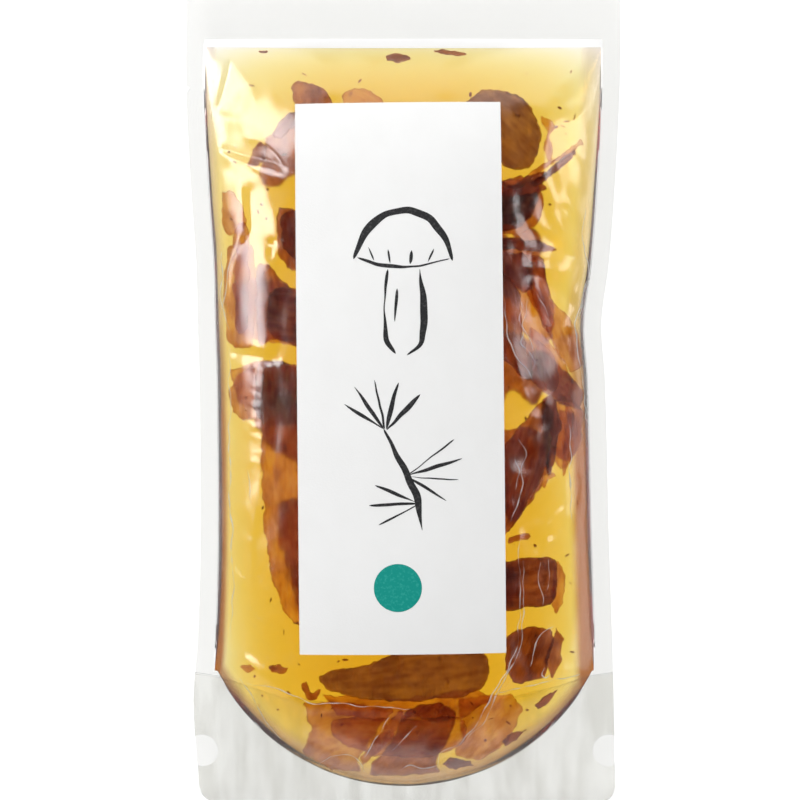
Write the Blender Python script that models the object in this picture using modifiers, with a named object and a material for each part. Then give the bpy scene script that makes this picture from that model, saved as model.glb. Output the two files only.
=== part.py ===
"""Clear stand-up pouch of sliced matsutake in amber broth, lying on its back.

Sizes are in millimetres and become metres where a mesh is made. +Y runs along the
pouch towards its top seal, +X to the right of its label, +Z up from the surface
that it lies on. The front and back films meet near a mid-plane, which bends down
towards both ends, and the broth holds them apart.
"""

import math

import bmesh
import bpy
from mathutils import Vector
from mathutils.geometry import delaunay_2d_cdt

MM = 0.001

# Driving dimensions of the pouch
POUCH_WIDTH = 120.0
POUCH_LENGTH = 225.0
FILM = 0.4
GAP = 0.3
SIDE_SEAL = 5.0
TOP_SEAL = 14.0
GUSSET_DEPTH = 36.0
TOP_CORNER = 2.0
BOTTOM_CORNER = 5.0
HEADSPACE = 1.1

# Fullness: how far the broth pushes the front up and the back down from the mid-plane
FRONT_RISE = 14.0
BACK_DROP = 24.0
TOP_RUN = 22.0
FOOT_RUN = 10.0

# The mid-plane's height over the surface, and where and how far it bends down
MID_HEIGHT = 10.0
TOP_BEND = (60.0, 38.0, 0.16)
FOOT_BEND = (45.0, 30.0, 0.08)

# The round seal at the foot of the chamber
ARC_X = 0.3
ARC_Y = -49.4
ARC_RADIUS = 58.0
ARC_START = -76.0

# How far the filled chamber draws the side edges in: height, left, right
SIDE_SQUEEZE = (
    (-112.5, 3.7, 1.3),
    (-100.0, 2.9, 1.8),
    (-84.0, 2.0, 2.1),
    (-67.0, 3.3, 2.6),
    (-40.0, 4.1, 3.5),
    (4.0, 3.8, 4.6),
    (20.0, 3.3, 5.6),
    (36.0, 2.9, 3.6),
    (58.0, 1.4, 1.9),
    (87.0, 0.0, 0.4),
    (112.5, 0.0, 0.0),
)

# The folded gusset: leaf spacing, how far its fold sags in the chamber, side punches
LEAF_OFFSET = 0.45
FOLD_SAG = 9.5
PUNCH_RADIUS = 4.5
PUNCH_INSET = 1.5
PUNCH_Y = -98.0

TEAR_NOTCH_Y = 84.8
TEAR_NOTCH_DEPTH = 1.2
TEAR_NOTCH_HALF = 0.7

# The paper label
LABEL_WIDTH = 56.0
LABEL_LENGTH = 150.0
LABEL_THICKNESS = 0.3
LABEL_CENTRE = (-0.95, 4.9)
LABEL_TURN = math.radians(0.55)

# How finely the surfaces are divided
LATTICE = 9.0
SLICE_LATTICE = 6.0
RINGS = (1.3, 4.4, 9.8)

HALF_WIDTH = POUCH_WIDTH / 2
HALF_LENGTH = POUCH_LENGTH / 2
CHAMBER_TOP = HALF_LENGTH - TOP_SEAL
GUSSET_TOP = GUSSET_DEPTH - HALF_LENGTH
SEAL_LIFT = GAP / 2
GUSSET_LIFT = LEAF_OFFSET + FILM / 2 + GAP

SIDE_ROWS = (
    98.5, 92.0, 84.8, 77.0, 69.0, 60.0, 51.0, 43.0, 35.0, 27.0, 20.0, 12.0, 4.0, -5.0,
    -14.0, -23.0, -32.0, -41.0, -50.0, -58.0, -65.0, -70.0, -75.4,
)

BROTH_CLEARANCE = 0.35
SLICE_CLEARANCE = 0.6
POCKET_CLEARANCE = 0.4

# Slices against the front film: name, thickness, outline
FRONT_SLICES = (
    ("cap_piece_top_left", 2.4, (
        (-30.4, 82.0), (-29.4, 86.0), (-24.7, 85.6), (-20.9, 83.4), (-19.6, 78.8), (-21.8, 74.3),
        (-27.2, 74.5),
    )),
    ("cap_piece_top", 2.6, (
        (-16.9, 80.2), (-15.2, 83.5), (-11.5, 83.9), (-7.2, 82.1), (-4.3, 77.2), (-8.7, 72.8),
        (-14.6, 73.9),
    )),
    ("cap_slice_round", 4.0, (
        (16.4, 77.2), (18.2, 81.5), (21.8, 83.2), (25.9, 83.5), (30.5, 82.6), (34.6, 79.1),
        (37.3, 73.0), (36.5, 65.8), (32.6, 61.9), (28.2, 62.2), (25.4, 65.1), (20.2, 67.4),
        (16.9, 71.2),
    )),
    ("cap_slice_under_round", 2.4, (
        (18.0, 52.3), (20.8, 55.6), (26.0, 54.6), (31.6, 55.0), (36.8, 55.4), (35.7, 51.2),
        (33.0, 47.6), (27.4, 46.2), (22.4, 46.0), (18.7, 48.4),
    )),
    ("strip_upper_right", 1.4, (
        (34.0, 58.3), (37.9, 60.9), (42.0, 63.9), (46.8, 68.0), (46.0, 65.0), (42.6, 61.9),
        (38.5, 58.9), (35.2, 57.2),
    )),
    ("strip_across_right", 1.4, (
        (21.8, 42.9), (27.3, 43.2), (32.7, 42.8), (38.7, 41.5), (42.0, 39.8), (37.1, 39.1),
        (29.4, 39.6), (22.4, 40.1),
    )),
    ("strip_right", 2.0, (
        (33.2, 36.2), (36.0, 36.9), (38.1, 36.0), (39.2, 32.0), (40.3, 26.6), (41.0, 21.1),
        (39.6, 18.6), (37.2, 21.2), (34.9, 27.4), (33.4, 32.5),
    )),
    ("stem_slice_upper_right", 3.0, (
        (22.6, 34.0), (26.6, 33.4), (30.2, 30.4), (31.8, 25.6), (32.2, 19.6), (32.8, 13.4),
        (34.6, 8.4), (34.6, 4.4), (31.6, 5.6), (27.6, 9.8), (24.0, 14.8), (22.2, 23.8),
    )),
    ("strip_middle_right", 1.8, (
        (35.7, 15.6), (38.6, 14.2), (41.4, 9.8), (42.6, 5.6), (41.4, 1.6), (39.0, 1.8),
        (38.0, 6.0), (36.7, 11.0),
    )),
    ("cap_slice_right", 3.6, (
        (37.8, -1.4), (40.6, -4.6), (40.9, -10.2), (39.2, -18.0), (35.6, -25.9), (30.6, -33.6),
        (27.4, -37.8), (24.2, -35.6), (22.9, -27.7), (24.4, -18.9), (28.7, -11.8), (33.8, -5.6),
    )),
    ("sliver_right_edge", 1.3, (
        (44.2, -2.4), (46.2, -3.4), (46.9, -7.9), (45.5, -13.7), (44.4, -20.6), (43.2, -22.0),
        (43.1, -15.3), (44.0, -7.9),
    )),
    ("block_slice_right", 3.2, (
        (23.4, -45.4), (28.4, -45.0), (33.0, -44.4), (37.6, -44.2), (41.2, -45.0), (41.9, -50.4),
        (41.3, -55.8), (38.2, -57.8), (33.4, -57.6), (28.2, -58.4), (22.9, -57.4), (21.6, -51.4),
    )),
    ("block_slice_foot_right", 3.0, (
        (28.0, -66.6), (31.0, -64.2), (34.6, -62.9), (38.0, -63.3), (40.6, -64.4), (40.4, -68.6),
        (39.0, -74.0), (37.8, -77.2), (34.0, -78.2), (29.6, -78.4), (27.6, -73.0),
    )),
    ("cap_slice_foot", 3.4, (
        (-23.0, -76.4), (-16.8, -74.2), (-9.7, -73.2), (-2.7, -69.9), (7.1, -67.2), (17.0, -67.4),
        (22.6, -71.2), (22.8, -77.0), (17.6, -81.2), (7.1, -82.6), (-3.2, -83.2), (-14.6, -81.6),
        (-20.4, -79.8),
    )),
    ("stem_slice_foot", 3.0, (
        (-19.6, -88.6), (-11.4, -87.4), (-1.6, -88.2), (8.8, -87.2), (16.4, -88.4), (17.2, -93.0),
        (12.2, -97.0), (4.4, -98.6), (-5.1, -98.4), (-13.6, -96.4), (-18.4, -93.4),
    )),
    ("cap_piece_left", 2.4, (
        (-33.0, 49.6), (-28.6, 50.8), (-24.2, 47.0), (-23.6, 41.0), (-27.0, 36.8), (-31.2, 38.2),
        (-33.2, 43.5),
    )),
    ("cap_slice_left", 3.0, (
        (-36.8, 27.6), (-33.0, 29.8), (-27.2, 28.4), (-22.6, 27.6), (-20.6, 22.0), (-23.3, 16.4),
        (-29.3, 14.6), (-35.4, 15.6), (-37.4, 21.1),
    )),
    ("stem_slice_long", 3.6, (
        (-38.2, 7.3), (-33.7, 9.3), (-26.6, 6.9), (-21.9, 0.6), (-20.4, -12.1), (-20.8, -28.4),
        (-21.9, -44.7), (-24.6, -57.6), (-28.2, -62.6), (-31.9, -59.7), (-35.2, -51.0), (-37.2, -41.0),
        (-38.2, -28.4), (-38.6, -9.3),
    )),
    ("strip_left_edge", 1.4, (
        (-46.6, 43.6), (-44.6, 47.6), (-42.6, 45.4), (-42.0, 37.5), (-42.2, 26.6), (-43.0, 18.2),
        (-45.0, 16.8), (-46.4, 20.6), (-46.0, 29.0), (-46.2, 37.5),
    )),
)

# Slices against the back film: name, thickness, cap width, cap height, stem width,
# stem length, middle x and y, turn in degrees
BACK_SLICES = (
    ("mushroom_slice_back_1", 3.2, 34.0, 17.0, 12.0, 27.0, -20.0, 58.0, 18.0),
    ("mushroom_slice_back_2", 3.0, 30.0, 15.0, 11.0, 30.0, 19.0, 48.0, 205.0),
    ("mushroom_slice_back_3", 3.4, 32.0, 16.0, 13.0, 32.0, -19.0, 3.0, 140.0),
    ("mushroom_slice_back_4", 3.0, 27.0, 14.0, 10.0, 26.0, 21.0, 0.0, -35.0),
    ("mushroom_slice_back_5", 3.2, 30.0, 15.0, 12.0, 25.0, 12.0, -48.0, 75.0),
)
BACK_STEMS = (
    ("stem_slice_back_1", 2.6, 10.0, 34.0, -27.0, -45.0, 12.0),
    ("stem_slice_back_2", 2.4, 8.0, 28.0, -8.0, 33.0, -62.0),
)

CLEAR_FILM = ("clear film", (0.93, 0.93, 0.92, 1.0), 0.12, 0.25)
AMBER_BROTH = ("amber broth", (0.86, 0.58, 0.16, 1.0), 0.05, 0.6)
BROWN_SLICE = ("brown mushroom", (0.42, 0.19, 0.06, 1.0), 0.5, 1.0)
WHITE_PAPER = ("white paper", (0.9, 0.9, 0.88, 1.0), 0.75, 1.0)


def clear_scene():
    """Remove every object that the file opened with."""
    for item in list(bpy.data.objects):
        bpy.data.objects.remove(item, do_unlink=True)


def new_collection(name):
    """Add a named collection to the scene."""
    collection = bpy.data.collections.new(name)
    bpy.context.scene.collection.children.link(collection)
    return collection


def new_material(finish):
    """Make the Principled material that a finish tuple describes."""
    name, colour, roughness, alpha = finish
    material = bpy.data.materials.new(name)
    material.use_nodes = True
    shader = material.node_tree.nodes["Principled BSDF"]
    shader.inputs["Base Color"].default_value = colour
    shader.inputs["Roughness"].default_value = roughness
    shader.inputs["Alpha"].default_value = alpha
    return material


def bend(distance, run, slope):
    """Drop of a plane that starts to bend at distance 0 and is straight past run."""
    if distance <= 0.0:
        return 0.0
    if distance < run:
        return slope * distance * distance / (2.0 * run)
    return slope * (distance - run / 2.0)


def mid_plane(y):
    """Height of the plane between the two films."""
    top_start, top_run, top_slope = TOP_BEND
    foot_start, foot_run, foot_slope = FOOT_BEND
    drop = bend(y - top_start, top_run, top_slope) + bend(-y - foot_start, foot_run, foot_slope)
    return MID_HEIGHT - drop


def seal_lift(y):
    """Distance from the mid-plane to a film's inner face along a seal."""
    start, end = -70.0, GUSSET_TOP + 1.0
    blend = min(max((y - start) / (end - start), 0.0), 1.0)
    return SEAL_LIFT + (GUSSET_LIFT - SEAL_LIFT) * blend


def squeeze(y, column):
    """Smooth value of one column of SIDE_SQUEEZE at y."""
    rows = SIDE_SQUEEZE
    last = len(rows) - 1
    low = 0
    while low < last - 1 and rows[low + 1][0] <= y:
        low += 1

    def tangent(index):
        before = rows[max(index - 1, 0)]
        after = rows[min(index + 1, last)]
        return (after[column] - before[column]) / (after[0] - before[0])

    here, there = rows[low], rows[low + 1]
    span = there[0] - here[0]
    t = min(max((y - here[0]) / span, 0.0), 1.0)
    return (
        (1 + 2 * t) * (1 - t) ** 2 * here[column]
        + t * (1 - t) ** 2 * span * tangent(low)
        + t * t * (3 - 2 * t) * there[column]
        + t * t * (t - 1) * span * tangent(low + 1)
    )


def corner_inset(y):
    """How far a rounded corner draws the side edge in at y."""
    for end, radius in ((HALF_LENGTH, TOP_CORNER), (-HALF_LENGTH, BOTTOM_CORNER)):
        reach = radius - abs(y - end)
        if reach > 0.0:
            return radius - math.sqrt(radius * radius - reach * reach)
    return 0.0


def film_edge(side, y):
    """X of the pouch's left (side -1) or right (side 1) edge at y."""
    column = 1 if side < 0 else 2
    return side * (HALF_WIDTH - squeeze(y, column) - corner_inset(y))


def across(y, share):
    """X at a share of the way from the pouch's left edge to its right edge."""
    left, right = film_edge(-1, y), film_edge(1, y)
    return left + (right - left) * share


def chamber_edge(side, y):
    """X of the inner line of the side seal at y."""
    column = 1 if side < 0 else 2
    return side * (HALF_WIDTH - squeeze(y, column) - SIDE_SEAL)


def arc_foot(x):
    """Y of the round seal under x, or of its start outside it."""
    reach = ARC_RADIUS * ARC_RADIUS - (x - ARC_X) ** 2
    return ARC_Y - math.sqrt(max(reach, 0.0))


def fullness(x, y):
    """How far the chamber is filled out at a point: 0 at its seals, near 1 in its middle."""
    left, right = chamber_edge(-1, y), chamber_edge(1, y)
    place = (2 * x - left - right) / (right - left)
    across = max(1.0 - place * place, 0.0)
    side = 0.45 * across + 0.55 * math.sqrt(across)
    top = 1.0 - math.exp(-max(CHAMBER_TOP - y, 0.0) / TOP_RUN)
    foot = 1.0 - math.exp(-max(y - arc_foot(x), 0.0) / FOOT_RUN)
    return side * top * foot


def front_inner(x, y):
    """Height of the front film's inner face."""
    return mid_plane(y) + seal_lift(y) + FRONT_RISE * fullness(x, y)


def back_inner(x, y):
    """Height of the back film's inner face, flat where the pouch rests."""
    room = mid_plane(y) - seal_lift(y) - FILM
    push = min(BACK_DROP * fullness(x, y) / room, 2.0)
    return mid_plane(y) - seal_lift(y) - room * push * (1.0 - push / 4.0)


def steepness(surface, x, y):
    """Vertical distance across a gap of 1 measured square to the surface."""
    step = 0.2
    along = (surface(x + step, y) - surface(x - step, y)) / (2 * step)
    up = (surface(x, y + step) - surface(x, y - step)) / (2 * step)
    return math.sqrt(1.0 + along * along + up * up)


def arc_points(radius, steps):
    """Points along the round seal, from its left end to its right end."""
    half = math.acos((ARC_Y - ARC_START) / radius)
    turns = [half * (2 * i / steps - 1) for i in range(steps + 1)]
    return [(ARC_X + radius * math.sin(a), ARC_Y - radius * math.cos(a)) for a in turns]


def chamber_outline(inset, top_inset):
    """Closed outline of the chamber, moved inwards by inset, from the top left down."""
    rows = [CHAMBER_TOP - top_inset]
    rows += [y for y in SIDE_ROWS if y < rows[0] - 2.5]
    left = [(chamber_edge(-1, y) + inset, y) for y in rows]
    right = [(chamber_edge(1, y) - inset, y) for y in reversed(rows)]
    top_y = rows[0]
    step = (right[-1][0] - left[0][0]) / 12
    top = [(right[-1][0] - step * i, top_y) for i in range(1, 12)]
    return left + arc_points(ARC_RADIUS - inset, 20) + right + top


def pouch_outline():
    """Closed outline of a film, from the top left down, with the tear notch."""
    corner_rows = [-HALF_LENGTH + BOTTOM_CORNER * s for s in (1.0, 0.6, 0.3, 0.1, 0.0)]
    rows = [HALF_LENGTH, HALF_LENGTH - 0.6, HALF_LENGTH - TOP_CORNER]
    rows += [y for y in SIDE_ROWS if y != TEAR_NOTCH_Y]
    rows += [GUSSET_TOP, -84.0, -92.0, -100.0] + corner_rows
    left = []
    for y in rows:
        left.append((film_edge(-1, y), y))
        if y == 92.0:
            edge = film_edge(-1, TEAR_NOTCH_Y)
            left.append((edge, TEAR_NOTCH_Y + TEAR_NOTCH_HALF))
            left.append((edge + TEAR_NOTCH_DEPTH, TEAR_NOTCH_Y))
            left.append((edge, TEAR_NOTCH_Y - TEAR_NOTCH_HALF))
    right = [(film_edge(1, y), y) for y in reversed(rows)]
    foot = spaced(left[-1], right[0], 14)
    head = spaced(right[-1], left[0], 14)
    return left + foot + right + head


def spaced(start, end, count):
    """The points that divide a straight line into count equal steps, without its ends."""
    return [
        (start[0] + (end[0] - start[0]) * i / count, start[1] + (end[1] - start[1]) * i / count)
        for i in range(1, count)
    ]


def inside(point, outline):
    """Whether a point lies in a closed outline."""
    x, y = point
    odd = False
    for (ax, ay), (bx, by) in zip(outline, outline[1:] + outline[:1]):
        if (ay > y) != (by > y) and x < ax + (bx - ax) * (y - ay) / (by - ay):
            odd = not odd
    return odd


def lattice(outline, fixed, spacing):
    """Points of a triangular lattice inside an outline, clear of the fixed points."""
    row_height = spacing * math.sqrt(3) / 2
    columns = int(HALF_WIDTH / spacing) + 1
    rows = int(HALF_LENGTH / row_height) + 1
    found = []
    for row in range(-rows, rows + 1):
        shift = spacing / 2 if row % 2 else 0.0
        for column in range(-columns, columns + 1):
            point = (column * spacing + shift, row * row_height)
            if not inside(point, outline):
                continue
            if min(math.dist(point, other) for other in fixed) > spacing * 0.55:
                found.append(point)
    return found


def fill_outline(outline, rings, spacing):
    """Triangles that fill an outline and keep each ring's line: points and faces."""
    fixed = list(outline)
    edges = []
    for ring in rings:
        first = len(fixed)
        fixed += ring
        count = len(ring)
        edges += [(first + i, first + (i + 1) % count) for i in range(count)]
    points = fixed + lattice(outline, fixed, spacing)
    border = tuple(range(len(outline)))
    flat = [Vector(p) for p in points]
    verts, _, faces, _, _, _ = delaunay_2d_cdt(flat, edges, [border], 1, 1e-5)
    return [(v.x, v.y) for v in verts], faces


def add_object(name, mesh, collection, material=None):
    """Link a mesh as a named object."""
    item = bpy.data.objects.new(name, mesh)
    collection.objects.link(item)
    if material:
        mesh.materials.append(material)
    return item


def surface_mesh(name, points, faces, height):
    """Open surface over filled points, raised to height(x, y)."""
    used = sorted({i for face in faces for i in face})
    shaped = bmesh.new()
    verts = {}
    for i in used:
        x, y = points[i]
        verts[i] = shaped.verts.new((x * MM, y * MM, height(x, y) * MM))
    for face in faces:
        shaped.faces.new([verts[i] for i in face])
    mesh = bpy.data.meshes.new(name)
    shaped.to_mesh(mesh)
    shaped.free()
    return mesh


def slab_mesh(name, outline, points, faces, top, bottom):
    """Closed slab over filled points, between top(x, y, rim) and bottom(x, y, rim)."""
    rim = {(round(x, 4), round(y, 4)) for x, y in outline}
    used = sorted({i for face in faces for i in face})
    shaped = bmesh.new()
    upper, lower = {}, {}
    for i in used:
        x, y = points[i]
        on_rim = (round(x, 4), round(y, 4)) in rim
        upper[i] = shaped.verts.new((x * MM, y * MM, top(x, y, on_rim) * MM))
        lower[i] = shaped.verts.new((x * MM, y * MM, bottom(x, y, on_rim) * MM))
    for face in faces:
        shaped.faces.new([upper[i] for i in face])
        shaped.faces.new([lower[i] for i in reversed(face)])
    borders = [e for e in shaped.edges if e.is_boundary and e.verts[0] in set(upper.values())]
    partner = {upper[i]: lower[i] for i in used}
    for edge in borders:
        a, b = edge.verts
        shaped.faces.new([a, b, partner[b], partner[a]])
    bmesh.ops.recalc_face_normals(shaped, faces=shaped.faces)
    mesh = bpy.data.meshes.new(name)
    shaped.to_mesh(mesh)
    shaped.free()
    return mesh


def solidify(item, thickness, offset):
    """Give an open surface its thickness, outwards (1), inwards (-1) or both ways (0)."""
    wall = item.modifiers.new("wall", "SOLIDIFY")
    wall.thickness = thickness * MM
    wall.offset = offset
    wall.use_even_offset = True


def cut(item, cutter):
    """Subtract one object from another."""
    modifier = item.modifiers.new("cut " + cutter.name, "BOOLEAN")
    modifier.operation = "DIFFERENCE"
    modifier.solver = "EXACT"
    modifier.object = cutter
    cutter.hide_render = True
    cutter.display_type = "WIRE"


def build_films(parts, material):
    """The two clear panels, alike in plan and sealed to each other at their edges."""
    outline = pouch_outline()
    rings = [chamber_outline(0.0, 0.0)]
    rings += [chamber_outline(inset, inset + HEADSPACE) for inset in RINGS]
    points, faces = fill_outline(outline, rings, LATTICE)
    for name, height, outwards in (("front_film", front_inner, 1.0), ("back_film", back_inner, -1.0)):
        film = add_object(name, surface_mesh(name, points, faces, height), parts, material)
        solidify(film, FILM, outwards)


def gusset_profile(fold_y):
    """Centre line of the folded gusset: y and offset from the mid-plane."""
    foot = -HALF_LENGTH
    rise = fold_y - LEAF_OFFSET - foot
    steps = (0.0, 0.02, 0.06, 0.13, 0.3, 0.55, 0.8, 1.0)
    leaf = [(foot + rise * s, LEAF_OFFSET) for s in steps]
    turn = [math.pi * (0.5 - i / 4) for i in range(1, 4)]
    tip = [(foot + rise + LEAF_OFFSET * math.cos(a), LEAF_OFFSET * math.sin(a)) for a in turn]
    return leaf + tip + [(y, -offset) for y, offset in reversed(leaf)]


def fold_line(x):
    """Y of the gusset's fold: straight in the side seals, sagging between them."""
    half = chamber_edge(1, GUSSET_TOP)
    place = min(abs(x) / half, 1.0)
    return GUSSET_TOP - FOLD_SAG * (1.0 - place * place)


def build_gusset(parts, cutters, material):
    """The folded film at the foot, punched at both sides so that the panels meet."""
    rows = len(gusset_profile(0.0))
    shaped = bmesh.new()
    bmesh.ops.create_grid(shaped, x_segments=14, y_segments=rows - 1, size=1.0)
    for vert in shaped.verts:
        row = round((vert.co.y + 1.0) / 2.0 * (rows - 1))
        share = (vert.co.x + 1.0) / 2.0
        y, offset = gusset_profile(fold_line(across(GUSSET_TOP, share)))[row]
        vert.co = (across(y, share) * MM, y * MM, (mid_plane(y) + offset) * MM)
    mesh = bpy.data.meshes.new("bottom_gusset")
    shaped.to_mesh(mesh)
    shaped.free()
    gusset = add_object("bottom_gusset", mesh, parts, material)
    solidify(gusset, FILM, 0.0)
    for side, label in ((-1, "left"), (1, "right")):
        place = (film_edge(side, PUNCH_Y) - side * PUNCH_INSET, PUNCH_Y, mid_plane(PUNCH_Y))
        bpy.ops.mesh.primitive_cylinder_add(
            vertices=24, radius=PUNCH_RADIUS * MM, depth=20 * MM, location=[v * MM for v in place]
        )
        punch = bpy.context.object
        punch.name = "punch_" + label
        move_to(punch, cutters)
        cut(gusset, punch)


def move_to(item, collection):
    """Move an object into one collection."""
    for old in list(item.users_collection):
        old.objects.unlink(item)
    collection.objects.link(item)


def build_broth(parts, cutters, material):
    """The amber liquid: it fills the chamber on both sides of the folded gusset."""
    outline, *rings = [chamber_outline(inset, inset + HEADSPACE) for inset in RINGS]
    points, faces = fill_outline(outline, rings, LATTICE)

    def top(x, y, _rim):
        return front_inner(x, y) - BROTH_CLEARANCE * steepness(front_inner, x, y)

    def bottom(x, y, _rim):
        return back_inner(x, y) + BROTH_CLEARANCE * steepness(back_inner, x, y)

    broth = add_object("broth", slab_mesh("broth", outline, points, faces, top, bottom), parts, material)
    cut(broth, gusset_room(cutters))
    return broth


def gusset_room(cutters):
    """Cutter: the folded gusset's own space and its clearance."""
    half = LEAF_OFFSET + FILM / 2 + BROTH_CLEARANCE
    columns = 14
    reach = HALF_WIDTH + 5.0
    xs = [reach * (2 * i / columns - 1) for i in range(columns + 1)]
    fold = [(x, fold_line(x) + FILM / 2 + BROTH_CLEARANCE) for x in xs]
    outline = [(-reach, -HALF_LENGTH - 5.0), (reach, -HALF_LENGTH - 5.0)] + fold[::-1]
    points, faces = fill_outline(outline, [], 30.0)
    mesh = slab_mesh(
        "gusset_room", outline, points, faces,
        lambda x, y, _rim: mid_plane(y) + half,
        lambda x, y, _rim: mid_plane(y) - half,
    )
    return add_object("gusset_room", mesh, cutters)


def smooth_outline(corners, steps):
    """Closed smooth curve through the corners, as points."""
    count = len(corners)
    points = []
    for i in range(count):
        p0, p1, p2, p3 = (corners[(i + k) % count] for k in (-1, 0, 1, 2))
        for step in range(steps):
            t = step / steps
            points.append(tuple(
                0.5 * (2 * b + (c - a) * t + (2 * a - 5 * b + 4 * c - d) * t * t
                       + (3 * b - a - 3 * c + d) * t * t * t)
                for a, b, c, d in zip(p0, p1, p2, p3)
            ))
    if signed_area(points) < 0:
        points.reverse()
    return points


def signed_area(points):
    """Area of a closed outline, positive when it runs anticlockwise."""
    return sum(a[0] * b[1] - b[0] * a[1] for a, b in zip(points, points[1:] + points[:1])) / 2


def grown(outline, distance):
    """An anticlockwise outline moved outwards by a distance."""
    count = len(outline)
    points = []
    for i, (x, y) in enumerate(outline):
        before, after = outline[i - 1], outline[(i + 1) % count]
        dx, dy = after[0] - before[0], after[1] - before[1]
        length = math.hypot(dx, dy)
        points.append((x + distance * dy / length, y - distance * dx / length))
    return points


def mushroom_outline(cap_width, cap_height, stem_width, stem_length):
    """A mushroom cut lengthwise: a domed cap over a stem, its middle near the origin."""
    half_cap, half_stem = cap_width / 2, stem_width / 2
    brim = (stem_length - cap_height) / 2
    foot = brim - stem_length
    right = [
        (half_cap * 0.55, brim + cap_height * 0.86),
        (half_cap * 0.92, brim + cap_height * 0.48),
        (half_cap, brim + cap_height * 0.05),
        (half_cap * 0.74, brim - cap_height * 0.02),
        (half_stem * 1.25, brim + cap_height * 0.06),
        (half_stem, brim - stem_length * 0.2),
        (half_stem * 0.94, brim - stem_length * 0.6),
        (half_stem * 0.7, foot + 1.5),
    ]
    left = [(-x, y) for x, y in reversed(right)]
    return [(0.0, brim + cap_height)] + right + [(0.0, foot)] + left


def stem_outline(width, length):
    """A stem cut lengthwise, a little wider at one end."""
    half_width, half_length = width / 2, length / 2
    right = [
        (half_width * 0.8, half_length - 1.5),
        (half_width, half_length * 0.4),
        (half_width * 0.86, -half_length * 0.3),
        (half_width * 0.66, 1.5 - half_length),
    ]
    left = [(-x, y) for x, y in reversed(right)]
    return [(0.0, half_length)] + right + [(0.0, -half_length)] + left


def placed(corners, x, y, degrees):
    """Corners turned and moved."""
    c, s = math.cos(math.radians(degrees)), math.sin(math.radians(degrees))
    return [(x + c * px - s * py, y + s * px + c * py) for px, py in corners]


def build_slice(name, thickness, corners, front, broth, parts, cutters, material):
    """One slice of mushroom pressed against a film, and its pocket in the broth."""
    outline = smooth_outline(corners, 2)
    film = front_inner if front else back_inner
    towards = -1.0 if front else 1.0

    def skin(x, y, rim):
        reach = SLICE_CLEARANCE * steepness(film, x, y) + (0.22 * thickness if rim else 0.0)
        return film(x, y) + towards * reach

    def core(x, y, rim):
        reach = SLICE_CLEARANCE * steepness(film, x, y) + thickness * (0.74 if rim else 1.0)
        return film(x, y) + towards * reach

    def pocket_floor(x, y, _rim):
        reach = SLICE_CLEARANCE * steepness(film, x, y) + thickness + POCKET_CLEARANCE
        return film(x, y) + towards * reach

    def pocket_mouth(x, y, _rim):
        return film(x, y) - towards * 1.0

    top, bottom = (skin, core) if front else (core, skin)
    points, faces = fill_outline(outline, [], SLICE_LATTICE)
    add_object(name, slab_mesh(name, outline, points, faces, top, bottom), parts, material)

    top, bottom = (pocket_mouth, pocket_floor) if front else (pocket_floor, pocket_mouth)
    outline = grown(outline, POCKET_CLEARANCE)
    points, faces = fill_outline(outline, [], SLICE_LATTICE)
    mesh = slab_mesh("pocket_" + name, outline, points, faces, top, bottom)
    cut(broth, add_object("pocket_" + name, mesh, cutters))


def build_slices(broth, parts, cutters, material):
    """Every slice of mushroom, against the front film and against the back film."""
    for name, thickness, corners in FRONT_SLICES:
        build_slice(name, thickness, corners, True, broth, parts, cutters, material)
    for name, thickness, *shape, x, y, turn in BACK_SLICES:
        corners = placed(mushroom_outline(*shape), x, y, turn)
        build_slice(name, thickness, corners, False, broth, parts, cutters, material)
    for name, thickness, width, length, x, y, turn in BACK_STEMS:
        corners = placed(stem_outline(width, length), x, y, turn)
        build_slice(name, thickness, corners, False, broth, parts, cutters, material)


def build_label(parts, material):
    """The paper label, lying on the front film."""
    shaped = bmesh.new()
    bmesh.ops.create_grid(shaped, x_segments=8, y_segments=22, size=1.0)
    c, s = math.cos(LABEL_TURN), math.sin(LABEL_TURN)
    for vert in shaped.verts:
        across, up = vert.co.x * LABEL_WIDTH / 2, vert.co.y * LABEL_LENGTH / 2
        x = LABEL_CENTRE[0] + c * across - s * up
        y = LABEL_CENTRE[1] + s * across + c * up
        height = front_inner(x, y) + FILM * steepness(front_inner, x, y) + GAP
        vert.co = (x * MM, y * MM, height * MM)
    mesh = bpy.data.meshes.new("paper_label")
    shaped.to_mesh(mesh)
    shaped.free()
    label = add_object("paper_label", mesh, parts, material)
    solidify(label, LABEL_THICKNESS, 1.0)


def main():
    """Build the pouch and what it holds."""
    clear_scene()
    parts = new_collection("matsutake_pouch")
    cutters = new_collection("cutters")
    film = new_material(CLEAR_FILM)
    build_films(parts, film)
    build_gusset(parts, cutters, film)
    broth = build_broth(parts, cutters, new_material(AMBER_BROTH))
    build_slices(broth, parts, cutters, new_material(BROWN_SLICE))
    build_label(parts, new_material(WHITE_PAPER))


main()
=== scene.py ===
"""Looks of a clear stand-up pouch of sliced matsutake in amber broth, lying on its back.

Sizes and places are in millimetres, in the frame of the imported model, and become metres where a
mesh is made. The films and the broth are closed shells over one lattice of rows and columns that
follows the pouch's seals, and the label and its print lie on the front film. The slices are finer
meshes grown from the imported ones. Shreds and folds keep the pixels that they were picked at in the
photograph, and on_film turns those into places.
"""

import logging
import math
from collections.abc import Callable
from dataclasses import dataclass, field
from enum import Enum

import bmesh
import bpy
import numpy as np
from mathutils import Matrix

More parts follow.
